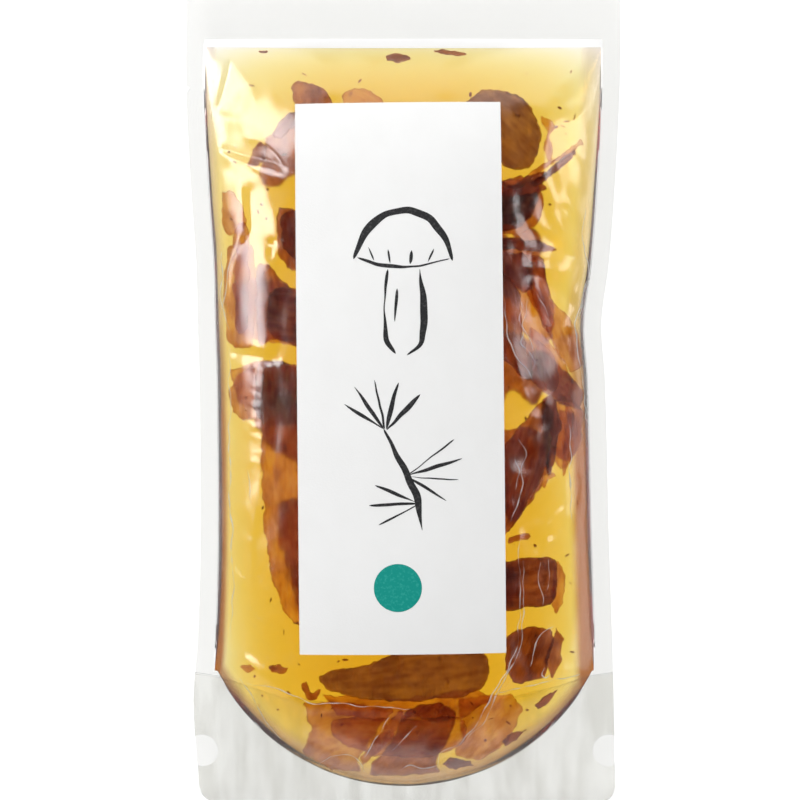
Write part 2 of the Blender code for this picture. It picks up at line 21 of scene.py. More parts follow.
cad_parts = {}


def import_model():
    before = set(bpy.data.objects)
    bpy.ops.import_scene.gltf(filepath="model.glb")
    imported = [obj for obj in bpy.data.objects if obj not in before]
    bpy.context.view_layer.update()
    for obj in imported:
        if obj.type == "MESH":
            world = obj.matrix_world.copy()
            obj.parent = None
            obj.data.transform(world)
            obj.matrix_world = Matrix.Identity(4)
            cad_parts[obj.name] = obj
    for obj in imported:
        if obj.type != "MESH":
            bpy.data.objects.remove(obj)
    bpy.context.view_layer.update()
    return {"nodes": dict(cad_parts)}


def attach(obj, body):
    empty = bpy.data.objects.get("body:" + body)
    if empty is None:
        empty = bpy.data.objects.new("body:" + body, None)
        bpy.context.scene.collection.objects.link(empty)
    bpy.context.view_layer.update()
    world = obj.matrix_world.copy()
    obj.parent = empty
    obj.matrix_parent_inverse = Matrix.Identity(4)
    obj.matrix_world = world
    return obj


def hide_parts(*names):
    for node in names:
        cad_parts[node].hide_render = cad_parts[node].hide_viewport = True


LOG = logging.getLogger("pouch")
MM = 0.001
BODY = "root"

# Points along a line or round an outline, and a colour or a factor along each axis
Line = tuple[tuple[float, float], ...]
Triple = tuple[float, float, float]

# Millimetres per pixel of the photograph over the raised front film, its middle pixel, and the place there
PHOTO_SCALE = 0.2721
PHOTO_MIDDLE = (400, 400)
PHOTO_PLACE = (-1.033, -1.171)

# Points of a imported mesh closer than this, in metres, are one
WELD = 0.00001


class Tone(Enum):
    """How deep the brown of a piece of mushroom is."""

    DEEP = "deep"
    RUSSET = "russet"
    AMBER = "amber"
    MAUVE = "mauve"


class Region(Enum):
    """The two looks of the film: over the broth, and where it is sealed or empty."""

    CLEAR = 0
    SEALED = 1


def on_film(pixels: Line) -> Line:
    """Turn points picked in the photograph, 800 pixels square, into places on the front film.

    Args:
        pixels: Points in pixels from the photograph's top left corner.

    Returns:
        Their places in millimetres, to a tenth.
    """
    (middle_x, middle_y), (x, y) = PHOTO_MIDDLE, PHOTO_PLACE
    return tuple(
        (round((px - middle_x) * PHOTO_SCALE + x, 1), round((middle_y - py) * PHOTO_SCALE + y, 1))
        for px, py in pixels
    )


def bend(distance: np.ndarray, run: float, slope: float) -> np.ndarray:
    """Find how far a plane has dropped once it starts to bend.

    Args:
        distance: How far past the start of the bend each point is.
        run: Length of the bend, past which the plane is straight again.
        slope: Slope of the plane past the bend.

    Returns:
        The drop at each point, 0 before the bend.
    """
    curved = slope * distance * distance / (2.0 * run)
    straight = slope * (distance - run / 2.0)
    return np.where(distance <= 0.0, 0.0, np.where(distance < run, curved, straight))


def smooth_step(value: np.ndarray, low: float, high: float) -> np.ndarray:
    """Go smoothly from 0 at low to 1 at high."""
    share = np.clip((value - low) / (high - low), 0.0, 1.0)
    return share * share * (3.0 - 2.0 * share)


@dataclass(frozen=True)
class Ripples:
    """A smooth random field: a sum of sine waves in seeded directions."""

    seed: int
    wavelength: float
    stretch: Triple = (1.0, 1.0, 1.0)
    count: int = 18

    def at(self, x: np.ndarray, y: np.ndarray, z: np.ndarray | float = 0.0) -> np.ndarray:
        """Read the field.

        Args:
            x: Places along X in millimetres.
            y: Places along Y in millimetres.
            z: Places along Z in millimetres.

        Returns:
            A value of about -1 to 1 for each place.
        """
        draw = np.random.default_rng(self.seed)
        total = np.zeros(np.shape(x))
        for _ in range(self.count):
            direction = draw.normal(size=3)
            direction /= np.linalg.norm(direction)
            turns = 2.0 * math.pi / (self.wavelength * draw.uniform(0.6, 1.6))
            place = sum(d * c / s for d, c, s in zip(direction, (x, y, z), self.stretch))
            total = total + np.sin(turns * place + draw.uniform(0.0, 2.0 * math.pi))
        return total * math.sqrt(2.0 / self.count) * 0.6


@dataclass(frozen=True)
class PouchForm:
    """The pouch's driving sizes, and the heights of its films that follow from them."""

    width: float = 120.0
    length: float = 225.0
    film: float = 0.4
    gap: float = 0.3
    side_seal: float = 5.0
    top_seal: float = 14.0
    gusset_depth: float = 36.0
    top_corner: float = 2.0
    bottom_corner: float = 5.0
    front_rise: float = 14.0
    back_drop: float = 24.0
    top_run: float = 22.0
    foot_run: float = 10.0
    mid_height: float = 10.0
    top_bend: Triple = (60.0, 38.0, 0.16)
    foot_bend: Triple = (45.0, 30.0, 0.08)
    arc_centre: tuple[float, float] = (0.3, -49.4)
    arc_radius: float = 58.0
    arc_start: float = -76.0
    leaf_offset: float = 0.45
    notch_y: float = 84.8
    notch_depth: float = 1.2
    notch_half: float = 0.75
    side_squeeze: tuple[Triple, ...] = (
        (-112.5, 3.7, 1.3),
        (-100.0, 2.9, 1.8),
        (-84.0, 2.0, 2.1),
        (-67.0, 3.3, 2.6),
        (-40.0, 4.1, 3.5),
        (4.0, 3.8, 4.6),
        (20.0, 3.3, 5.6),
        (36.0, 2.9, 3.6),
        (58.0, 1.4, 1.9),
        (87.0, 0.0, 0.4),
        (112.5, 0.0, 0.0),
    )

    @property
    def chamber_top(self) -> float:
        """Height along Y of the inner line of the top seal."""
        return self.length / 2.0 - self.top_seal

    @property
    def gusset_top(self) -> float:
        """Height along Y of the gusset's fold at the side seals."""
        return self.gusset_depth - self.length / 2.0

    @property
    def arc_reach(self) -> float:
        """Half the width between the two starts of the round seal."""
        return math.sqrt(self.arc_radius**2 - (self.arc_centre[1] - self.arc_start) ** 2)

    def mid_plane(self, y: np.ndarray) -> np.ndarray:
        """Height of the plane between the two films.

        Args:
            y: Places along Y.

        Returns:
            The height at each place.
        """
        top_start, top_run, top_slope = self.top_bend
        foot_start, foot_run, foot_slope = self.foot_bend
        drop = bend(y - top_start, top_run, top_slope)
        drop = drop + bend(-y - foot_start, foot_run, foot_slope)
        return self.mid_height - drop

    def seal_lift(self, y: np.ndarray) -> np.ndarray:
        """Distance from the mid-plane to a film's inner face along a seal.

        Args:
            y: Places along Y.

        Returns:
            The distance at each place.
        """
        thin = self.gap / 2.0
        thick = self.leaf_offset + self.film / 2.0 + self.gap
        share = np.clip((y + 70.0) / (self.gusset_top + 71.0), 0.0, 1.0)
        return thin + (thick - thin) * share

    def squeeze(self, y: np.ndarray, column: int) -> np.ndarray:
        """Find how far a side edge is drawn in.

        Args:
            y: Places along Y.
            column: 1 for the left edge and 2 for the right one.

        Returns:
            The smooth value between the rows of side_squeeze.
        """
        rows = np.array(self.side_squeeze)
        places, values = rows[:, 0], rows[:, column]
        before = np.concatenate(([0], np.arange(len(rows) - 1)))
        after = np.concatenate((np.arange(1, len(rows)), [len(rows) - 1]))
        tangents = (values[after] - values[before]) / (places[after] - places[before])
        low = np.clip(np.searchsorted(places, y, side="right") - 1, 0, len(rows) - 2)
        span = places[low + 1] - places[low]
        t = np.clip((y - places[low]) / span, 0.0, 1.0)
        return (
            (1 + 2 * t) * (1 - t) ** 2 * values[low]
            + t * (1 - t) ** 2 * span * tangents[low]
            + t * t * (3 - 2 * t) * values[low + 1]
            + t * t * (t - 1) * span * tangents[low + 1]
        )

    def corner_inset(self, y: np.ndarray) -> np.ndarray:
        """How far a rounded corner draws the side edge in.

        Args:
            y: Places along Y.

        Returns:
            The inset at each place, 0 between the corners.
        """
        total = np.zeros(np.shape(y))
        for end, radius in ((self.length / 2, self.top_corner), (-self.length / 2, self.bottom_corner)):
            reach = np.clip(radius - np.abs(y - end), 0.0, radius)
            total = total + radius - np.sqrt(radius * radius - reach * reach)
        return total

    def film_edge(self, side: int, y: np.ndarray) -> np.ndarray:
        """X of the pouch's left (side -1) or right (side 1) edge, with the tear notch.

        Args:
            side: -1 for the left edge and 1 for the right one.
            y: Places along Y.

        Returns:
            X of the edge at each place.
        """
        column = 1 if side < 0 else 2
        notch = self.notch_depth * np.clip(1.0 - np.abs(y - self.notch_y) / self.notch_half, 0.0, 1.0)
        cut = notch if side < 0 else 0.0
        return side * (self.width / 2.0 - self.squeeze(y, column) - self.corner_inset(y) - cut)

    def chamber_edge(self, side: int, y: np.ndarray) -> np.ndarray:
        """X of the inner line of a side seal."""
        column = 1 if side < 0 else 2
        return side * (self.width / 2.0 - self.squeeze(y, column) - self.side_seal)

    def arc_foot(self, x: np.ndarray) -> np.ndarray:
        """Y of the round seal under x."""
        reach = self.arc_radius**2 - (x - self.arc_centre[0]) ** 2
        return self.arc_centre[1] - np.sqrt(np.clip(reach, 0.0, None))

    def fullness(self, x: np.ndarray, y: np.ndarray) -> np.ndarray:
        """How far the chamber is filled out: 0 at its seals, near 1 in its middle.

        Args:
            x: Places along X.
            y: Places along Y.

        Returns:
            The share at each place.
        """
        left, right = self.chamber_edge(-1, y), self.chamber_edge(1, y)
        place = (2.0 * x - left - right) / (right - left)
        span = np.clip(1.0 - place * place, 0.0, None)
        side = 0.45 * span + 0.55 * np.sqrt(span)
        top = 1.0 - np.exp(-np.clip(self.chamber_top - y, 0.0, None) / self.top_run)
        foot = 1.0 - np.exp(-np.clip(y - self.arc_foot(x), 0.0, None) / self.foot_run)
        return side * top * foot

    def front_inner(self, x: np.ndarray, y: np.ndarray) -> np.ndarray:
        """Height of the smooth front film's inner face."""
        return self.mid_plane(y) + self.seal_lift(y) + self.front_rise * self.fullness(x, y)

    def back_inner(self, x: np.ndarray, y: np.ndarray) -> np.ndarray:
        """Height of the smooth back film's inner face, flat where the pouch rests.

        Args:
            x: Places along X.
            y: Places along Y.

        Returns:
            The height at each place.
        """
        room = self.mid_plane(y) - self.seal_lift(y) - self.film
        push = np.minimum(self.back_drop * self.fullness(x, y) / room, 2.0)
        return self.mid_plane(y) - self.seal_lift(y) - room * push * (1.0 - push / 4.0)

    def lattice(self, rows: np.ndarray, columns: np.ndarray) -> tuple[np.ndarray, np.ndarray]:
        """Lay rows and columns over the pouch so that its seals fall on lines of the lattice.

        Args:
            rows: -1 at the pouch's top edge, 0 at the top seal's inner line, 1 at the round
                seal and 2 at the bottom edge.
            columns: -2 at the left edge, -1 and 1 at the side seals' inner lines, 2 at the
                right edge.

        Returns:
            X and Y of each crossing, as two arrays of rows by columns.
        """
        t, s = np.meshgrid(rows, columns, indexing="ij")
        half = self.length / 2.0
        top = self.chamber_top
        x = np.zeros(t.shape)
        for _ in range(12):
            offset = np.clip(x - self.arc_centre[0], -self.arc_reach, self.arc_reach)
            foot = self.arc_foot(offset + self.arc_centre[0])
            y = np.where(t < 0.0, top - (half - top) * t, top + (foot - top) * t)
            y = np.where(t > 1.0, foot - (half + foot) * (t - 1.0), y)
            left, right = self.chamber_edge(-1, y), self.chamber_edge(1, y)
            x = (left + right) / 2.0 + (right - left) / 2.0 * s
            x = np.where(s < -1.0, left + (self.film_edge(-1, y) - left) * (-1.0 - s), x)
            x = np.where(s > 1.0, right + (self.film_edge(1, y) - right) * (s - 1.0), x)
        return x, y


@dataclass(frozen=True)
class Ridge:
    """A crease along a line of points: a crest, or a furrow where its height is negative."""

    line: Line
    height: float
    reach: float
    left_reach: float = 0.0
    soft: float = 0.08

    def at(self, x: np.ndarray, y: np.ndarray) -> np.ndarray:
        """Height of the crease at places, falling evenly on each side of its line.

        Args:
            x: Places along X.
            y: Places along Y.

        Returns:
            The height at each place, 0 past its reach.
        """
        nearest = np.full(np.shape(x), np.inf)
        share = np.zeros(np.shape(x))
        for (ax, ay), (bx, by) in zip(self.line, self.line[1:]):
            dx, dy = bx - ax, by - ay
            along = np.clip(((x - ax) * dx + (y - ay) * dy) / (dx * dx + dy * dy), 0.0, 1.0)
            away_x, away_y = x - ax - along * dx, y - ay - along * dy
            away = np.hypot(away_x, away_y)
            on_left = dx * away_y - dy * away_x < 0.0
            reach = np.where(on_left, self.left_reach or self.reach, self.reach)
            closer = away < nearest
            share = np.where(closer, away / reach, share)
            nearest = np.minimum(nearest, away)
        flank = np.sqrt(share**2 + self.soft * self.soft) - self.soft
        return self.height * np.clip(1.0 - flank, 0.0, 1.0)


@dataclass(frozen=True)
class Facet:
    """A flat face where the taut film is drawn straight between creases."""

    corners: Line
    lean: float
    climb: float
    depth: float
    border: float = 1.2

    def at(self, x: np.ndarray, y: np.ndarray, height: Callable) -> np.ndarray:
        """Find how far the film drops to the facet.

        Args:
            x: Places along X.
            y: Places along Y.
            height: The height of the smooth film at places.

        Returns:
            The drop at each place, 0 or below.
        """
        corners = np.array(self.corners)
        middle = corners.mean(axis=0)
        rise = np.tan(np.radians((self.lean, self.climb)))
        crest = float(height(*middle[:, None])[0]) - self.depth
        plane = crest + (x - middle[0]) * rise[0] + (y - middle[1]) * rise[1]
        inside = np.full(np.shape(x), np.inf)
        for (ax, ay), (bx, by) in zip(corners, np.roll(corners, -1, axis=0)):
            length = math.hypot(bx - ax, by - ay)
            inside = np.minimum(inside, ((bx - ax) * (y - ay) - (by - ay) * (x - ax)) / length)
        return np.minimum(plane - height(x, y), 0.0) * smooth_step(inside, 0.0, self.border)


LABEL_SIZE = (56.0, 150.0)
LABEL_CENTRE = (-0.95, 4.9)
LABEL_TURN = math.radians(0.55)

# Flat faces of the front film at its top left corner and above the sheen on the left
FRONT_FACETS = (
    Facet(
        ((-47.8, 96.0), (-52.6, 78.0), (-51.4, 76.4), (-40.2, 74.0), (-36.6, 73.0), (-39.7, 86.2)),
        lean=15.5, climb=-12.5, depth=0.25,
    ),
    Facet(
        ((-51.4, 76.1), (-50.6, 66.0), (-44.0, 64.4), (-31.8, 60.6), (-37.2, 70.0), (-40.2, 73.7)),
        lean=17.0, climb=4.5, depth=0.25,
    ),
    Facet(
        ((-44.5, 57.5), (-43.5, 42.6), (-33.0, 42.6), (-32.2, 54.5), (-37.0, 58.0)),
        lean=19.4, climb=-1.0, depth=0.2, border=2.2,
    ),
)

# Creases that the photograph shows in the front film: the top left corner, the sheen down the left
# side, the right side, the foot and the top
FRONT_RIDGES = (
    Ridge(((-50.0, 66.0), (-39.4, 60.6), (-31.2, 58.6)), 0.35, 2.6),
    Ridge(
        ((-33.6, 43.0), (-36.4, 34.0), (-37.4, 24.0), (-38.2, 10.0), (-39.2, -10.0), (-40.0, -30.0)),
        0.3, 4.0, 24.0,
    ),
    Ridge(((-43.4, 42.3), (-38.0, 41.7), (-33.4, 41.9)), -0.3, 0.9),
    Ridge(((-35.4, 42.4), (-36.4, 37.8)), -0.25, 0.8),
    Ridge(((-45.5, 11.5), (-36.0, 9.8)), -0.5, 2.4),
    Ridge(((-52.5, 13.0), (-49.6, 20.0), (-48.2, 37.0), (-45.0, 43.6)), 0.22, 1.4),
    Ridge(((51.7, 34.2), (47.2, 19.0)), 0.9, 3.0),
    Ridge(((51.0, 26.2), (48.6, 20.2)), 0.6, 1.6),
    Ridge(((47.0, 15.0), (50.6, 0.0), (49.6, -22.0)), 0.4, 2.4),
    Ridge(((44.0, 38.5), (41.5, 30.0), (42.0, 23.5)), -0.35, 3.4),
    Ridge(((29.7, -73.0), (19.6, -88.0), (9.0, -101.0)), 0.6, 5.0),
    Ridge(((33.0, -66.0), (30.0, -78.0), (22.0, -93.0)), -0.4, 4.0),
    Ridge(((-2.0, -84.0), (-11.0, -100.0)), 0.55, 3.2),
    Ridge(((-1.2, -75.5), (-6.0, -92.0)), -0.3, 3.0),
    Ridge(((-44.0, -72.0), (-36.0, -78.5), (-27.0, -84.4), (1.6, -85.0)), 0.4, 2.4),
    Ridge(((48.4, -76.5), (42.5, -77.6), (24.8, -81.2)), -0.35, 2.6),
    Ridge(((-24.0, 96.0), (-20.0, 84.0)), 0.35, 5.0),
    Ridge(((24.0, 97.0), (12.0, 84.0)), 0.35, 5.0),
    Ridge(((50.4, 96.0), (40.0, 80.0), (38.0, 60.0)), 0.4, 6.0),
)


@dataclass(frozen=True)
class Creasing:
    """All the creases of both films, listed where they show and drawn by seed elsewhere."""

    form: PouchForm
    seed: int = 7
    small_count: int = 80
    foot_count: int = 46
    teeth_top: float = 40.0
    teeth_foot: float = -18.0
    label_hold: float = 0.92

    def small_ridges(self) -> list[Ridge]:
        """Draw the small creases of the filled chamber, most of them near its sides.

        Returns:
            The creases.
        """
        draw = np.random.default_rng(self.seed)
        ridges = []
        for _ in range(self.small_count):
            side = -1 if draw.random() < 0.35 else 1
            x = side * draw.uniform(30.0, 50.0)
            y = draw.uniform(-95.0, 92.0 if side > 0 else -22.0)
            x *= min(1.0, math.sqrt(max(1.0 - (max(-49.0 - y, 0.0) / 58.0) ** 2, 0.05)))
            turn = draw.normal(0.0, 0.55) - side * 0.35 * np.sign(y)
            half = draw.uniform(2.0, 9.0)
            dx, dy = half * math.sin(turn), half * math.cos(turn)
            height = draw.uniform(0.08, 0.32) * draw.choice((-1.0, 1.0)) * (1.0 if side > 0 else 0.4)
            reach = draw.uniform(1.4, 4.2)
            ridges.append(Ridge(((x - dx, y - dy), (x + dx, y + dy)), height, reach))
        return ridges

    def teeth(self) -> list[Ridge]:
        """Draw the short cross creases that notch the right border of the sheen on the left.

        Returns:
            The creases.
        """
        draw = np.random.default_rng(self.seed + 2)
        ridges = []
        y = self.teeth_top
        while y > self.teeth_foot:
            x = -36.4 - (self.teeth_top - y) * 0.055
            length = draw.uniform(1.0, 3.0)
            drop = draw.uniform(-0.4, 1.2)
            height = draw.uniform(0.04, 0.11)
            ridges.append(Ridge(((x - 2.4, y), (x + length, y - drop)), height, draw.uniform(0.7, 1.2)))
            y -= draw.uniform(1.8, 3.4)
        return ridges

    def foot_ridges(self) -> list[Ridge]:
        """Draw the upright streaks of the empty skirt, which fan out from the round seal.

        Returns:
            The streaks.
        """
        draw = np.random.default_rng(self.seed + 1)
        ridges = []
        for _ in range(self.foot_count):
            turn = draw.uniform(-0.98, 0.98)
            start = self.form.arc_radius + draw.uniform(0.5, 6.0)
            end = start + draw.uniform(8.0, 40.0)
            lean = turn * draw.uniform(0.4, 0.8)
            ax = self.form.arc_centre[0] + start * math.sin(turn)
            ay = self.form.arc_centre[1] - start * math.cos(turn)
            bx, by = ax + (end - start) * math.sin(lean), ay - (end - start) * math.cos(lean)
            height = draw.uniform(0.1, 0.35)
            ridges.append(Ridge(((ax, ay), (bx, by)), height, draw.uniform(1.2, 3.4)))
        return ridges

    def label_cover(self, x: np.ndarray, y: np.ndarray) -> np.ndarray:
        """How far a place lies under the label: 1 well inside it and 0 clear of it.

        Args:
            x: Places along X.
            y: Places along Y.

        Returns:
            The share at each place.
        """
        cos, sin = math.cos(LABEL_TURN), math.sin(LABEL_TURN)
        dx, dy = x - LABEL_CENTRE[0], y - LABEL_CENTRE[1]
        along, up = cos * dx + sin * dy, -sin * dx + cos * dy
        inset = np.minimum(LABEL_SIZE[0] / 2.0 - np.abs(along), LABEL_SIZE[1] / 2.0 - np.abs(up))
        return smooth_step(inset, -3.5, 1.0)

    def front(self, x: np.ndarray, y: np.ndarray) -> np.ndarray:
        """Height that creases add to the front film.

        Args:
            x: Places along X.
            y: Places along Y.

        Returns:
            The height at each place.
        """
        held = smooth_step(self.form.fullness(x, y), 0.02, 0.3)
        filled = y > self.form.arc_foot(x)
        total = np.zeros(np.shape(x))
        for ridge in (*FRONT_RIDGES, *self.small_ridges(), *self.teeth()):
            total = total + ridge.at(x, y)
        total = total + 0.05 * Ripples(11, 7.0, (1.0, 1.8, 1.0)).at(x, y)
        total = total * held
        for facet in FRONT_FACETS:
            total = total + facet.at(x, y, self.form.front_inner)
        total = total * (1.0 - self.label_hold * self.label_cover(x, y))
        total = total + 0.10 * Ripples(13, 46.0).at(x, y) * held
        return np.where(filled, total, 0.0) + self.skirt(x, y)

    def outer(self, x: np.ndarray, y: np.ndarray) -> np.ndarray:
        """Height of the front film's outer face.

        Args:
            x: Places along X.
            y: Places along Y.

        Returns:
            The height at each place.
        """
        inner = self.form.front_inner(x, y) + self.front(x, y)
        step = 0.2
        along = (self.form.front_inner(x + step, y) - self.form.front_inner(x - step, y)) / (2 * step)
        up = (self.form.front_inner(x, y + step) - self.form.front_inner(x, y - step)) / (2 * step)
        return inner + self.form.film * np.sqrt(1.0 + along * along + up * up)

    def skirt(self, x: np.ndarray, y: np.ndarray) -> np.ndarray:
        """Height that the streaks add to a film in the empty skirt, 0 at its bottom edge.

        Args:
            x: Places along X.
            y: Places along Y.

        Returns:
            The height at each place.
        """
        below = self.form.arc_foot(x) - y
        held = smooth_step(below, 0.0, 4.0) * smooth_step(y + self.form.length / 2.0, 0.0, 3.0)
        total = np.zeros(np.shape(x))
        for ridge in self.foot_ridges():
            total = total + ridge.at(x, y)
        total = total + 0.07 * (1.0 + Ripples(17, 5.0, (1.0, 5.0, 1.0)).at(x, y))
        return total * held

    def back(self, x: np.ndarray, y: np.ndarray) -> np.ndarray:
        """Height that small creases add to the back film, only upwards, off its resting face.

        Args:
            x: Places along X.
            y: Places along Y.

        Returns:
            The height at each place.
        """
        held = smooth_step(self.form.fullness(x, y), 0.05, 0.4)
        ripple = Ripples(19, 17.0, (1.0, 1.6, 1.0)).at(x, y)
        return 0.3 * np.clip(ripple, 0.0, None) * held


def grid_points(x: np.ndarray, y: np.ndarray, z: np.ndarray) -> np.ndarray:
    """Stack three arrays of rows by columns into one array of points."""
    return np.stack((x, y, z), axis=-1)


def grid_normals(points: np.ndarray) -> np.ndarray:
    """Unit normals of a lattice of points, upwards where its rows run down and columns right.

    Args:
        points: The lattice, by rows, columns and axes.

    Returns:
        A normal for each point, straight up where the lattice shrinks to a point.
    """
    along = np.gradient(points, axis=1)
    down = np.gradient(points, axis=0)
    normals = np.cross(down, along)
    length = np.linalg.norm(normals, axis=-1, keepdims=True)
    shrunk = length < 1e-9
    return np.where(shrunk, (0.0, 0.0, 1.0), normals / np.where(shrunk, 1.0, length))


def shell_mesh(name: str, upper: np.ndarray, lower: np.ndarray) -> bpy.types.Mesh:
    """Close two lattices of the same layout into one shell.

    Args:
        name: Name of the mesh.
        upper: Points of the upper face, rows down and columns to the right, in millimetres.
        lower: Points of the lower face.

    Returns:
        A mesh in metres whose faces point outwards.
    """
    rows, columns = upper.shape[:2]
    count = rows * columns
    index = np.arange(count).reshape(rows, columns)
    a, b = index[:-1, :-1].ravel(), index[:-1, 1:].ravel()
    c, d = index[1:, 1:].ravel(), index[1:, :-1].ravel()
    top = np.stack((a, d, c, b), axis=1)
    bottom = np.stack((a, b, c, d), axis=1) + count
    loop = np.concatenate((index[0, :-1], index[:-1, -1], index[-1, :0:-1], index[:0:-1, 0]))
    following = np.roll(loop, -1)
    rim = np.stack((loop, following, following + count, loop + count), axis=1)
    faces = np.concatenate((top, bottom, rim))
    points = np.concatenate((upper.reshape(-1, 3), lower.reshape(-1, 3))) * MM
    mesh = bpy.data.meshes.new(name)
    mesh.from_pydata(points.tolist(), [], faces.tolist())
    mesh.validate()
    return mesh


def add_piece(mesh: bpy.types.Mesh, slot: str, *stands_for: str) -> bpy.types.Object:
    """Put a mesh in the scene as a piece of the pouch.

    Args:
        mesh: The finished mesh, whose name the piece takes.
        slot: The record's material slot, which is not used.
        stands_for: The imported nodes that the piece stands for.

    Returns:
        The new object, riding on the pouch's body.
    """
    piece = bpy.data.objects.new(mesh.name, mesh)
    bpy.context.scene.collection.objects.link(piece)
    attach(piece, BODY)
    if stands_for:
        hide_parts(*stands_for)
    LOG.info("%s: %d faces", piece.name, len(mesh.polygons))
    return piece


def shade_smooth(mesh: bpy.types.Mesh, angle: float = 50.0) -> None:
    """Shade a mesh smooth, with edges sharper than an angle in degrees kept crisp."""
    mesh.polygons.foreach_set("use_smooth", [True] * len(mesh.polygons))
    mesh.set_sharp_from_angle(angle=math.radians(angle))


def evaluated_mesh(piece: bpy.types.Object) -> bpy.types.Mesh:
    """Take a plain mesh of an object with its modifiers applied."""
    graph = bpy.context.evaluated_depsgraph_get()
    return bpy.data.meshes.new_from_object(piece.evaluated_get(graph), depsgraph=graph)


def remeshed(mesh: bpy.types.Mesh, voxel: float, relax: int) -> bpy.types.Mesh:
    """Give a closed mesh an even net of faces and round its edges.

    Args:
        mesh: The closed mesh.
        voxel: Size of a face in millimetres.
        relax: How many rounds of smoothing it gets.

    Returns:
        The new mesh, with the old one removed.
    """
    carrier = bpy.data.objects.new("carrier", mesh)
    bpy.context.scene.collection.objects.link(carrier)
    net = carrier.modifiers.new("net", "REMESH")
    net.mode = "VOXEL"
    net.voxel_size = voxel * MM
    soften = carrier.modifiers.new("soften", "SMOOTH")
    soften.factor = 0.5
    soften.iterations = relax
    made = evaluated_mesh(carrier)
    bpy.data.objects.remove(carrier)
    bpy.data.meshes.remove(mesh)
    return made


def joined(name: str, meshes: list[bpy.types.Mesh]) -> bpy.types.Mesh:
    """Put meshes together as one smooth mesh and remove them.

    Args:
        name: Name of the new mesh.
        meshes: The closed meshes, which stay apart inside it.

    Returns:
        The new mesh.
    """
    shape = bmesh.new()
    for mesh in meshes:
        shape.from_mesh(mesh)
        bpy.data.meshes.remove(mesh)
    made = bpy.data.meshes.new(name)
    shape.to_mesh(made)
    shape.free()
    shade_smooth(made, 60.0)
    return made


def brush(
    line: Line, width: float, step: float, waver: float, seed: int, swell: float = 3.0
) -> tuple[np.ndarray, np.ndarray, np.ndarray]:
    """Lay a narrow net of five columns along a line, tapered to both ends.

    Args:
        line: Corners of the line, which are rounded.
        width: Full width of the net.
        step: Distance between its rows.
        waver: How far it strays from the line.
        seed: Seed of its unevenness.
        swell: Length over which its width swells and shrinks.

    Returns:
        X and Y of the net's points, and each row's share of the full width.
    """
    corners = np.array(line)
    lengths = np.concatenate(([0.0], np.cumsum(np.hypot(*np.diff(corners, axis=0).T))))
    places = np.linspace(0.0, lengths[-1], max(int(lengths[-1] / step), 6))
    points = np.stack([np.interp(places, lengths, corners[:, i]) for i in range(2)], axis=-1)
    for _ in range(6):
        points[1:-1] = (points[:-2] + 2.0 * points[1:-1] + points[2:]) / 4.0
    heading = np.gradient(points, axis=0)
    heading /= np.linalg.norm(heading, axis=1, keepdims=True)
    across = np.stack((-heading[:, 1], heading[:, 0]), axis=-1)
    points = points + across * (waver * Ripples(seed, 6.0).at(*points.T))[:, None]
    ends = np.sin(np.linspace(0.0, math.pi, len(points))) ** 0.4
    uneven = 0.7 + 0.5 * Ripples(seed + 50, swell).at(*points.T)
    size = np.clip(ends * uneven, 0.05, None)[:, None]
    offsets = np.array((-1.0, -0.5, 0.0, 0.5, 1.0)) * width / 2.0
    x = points[:, :1] + across[:, :1] * offsets * size
    y = points[:, 1:] + across[:, 1:] * offsets * size
    return x, y, size


def welded(node: bpy.types.Object, name: str) -> bpy.types.Mesh:
    """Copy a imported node's mesh, with its loose triangles joined and its material left off.

    Args:
        node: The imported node.
        name: Name of the copy.

    Returns:
        The closed copy.
    """
    mesh = node.data.copy()
    mesh.name = name
    mesh.materials.clear()
    shape = bmesh.new()
    shape.from_mesh(mesh)
    bmesh.ops.remove_doubles(shape, verts=shape.verts, dist=WELD)
    shape.to_mesh(mesh)
    shape.free()
    return mesh


def chamber_columns(count: int) -> np.ndarray:
    """Places across the chamber from -1 to 1, closer together near its sides."""
    even = np.linspace(-1.0, 1.0, count + 1)
    return 0.6 * even + 0.4 * np.sin(even * math.pi / 2.0)


def mark_rim(mesh: bpy.types.Mesh, values: np.ndarray) -> None:
    """Say of each vertex of a mesh how far it lies in the rim, from 0 to 1, which sets the painted edge shade
    of the broth and the painted edge glow of the flesh.
    """
    rim = mesh.attributes.new("rim", "FLOAT", "POINT")
    rim.data.foreach_set("value", values.astype(np.float32))


def mark_grain(mesh: bpy.types.Mesh, places: np.ndarray) -> None:
    """Give a mesh coordinates that follow its fibres, which run along its longer side.

    Args:
        mesh: The mesh of the slice.
        places: Places of its vertices in millimetres.
    """
    _, axes = np.linalg.eigh(np.cov(places[:, :2].T))
    across, along = places[:, :2] @ axes[:, 0], places[:, :2] @ axes[:, 1]
    grain = mesh.attributes.new("grain", "FLOAT_VECTOR", "POINT")
    own = np.stack((across, along, places[:, 2]), axis=-1)
    grain.data.foreach_set("vector", own.astype(np.float32).ravel())


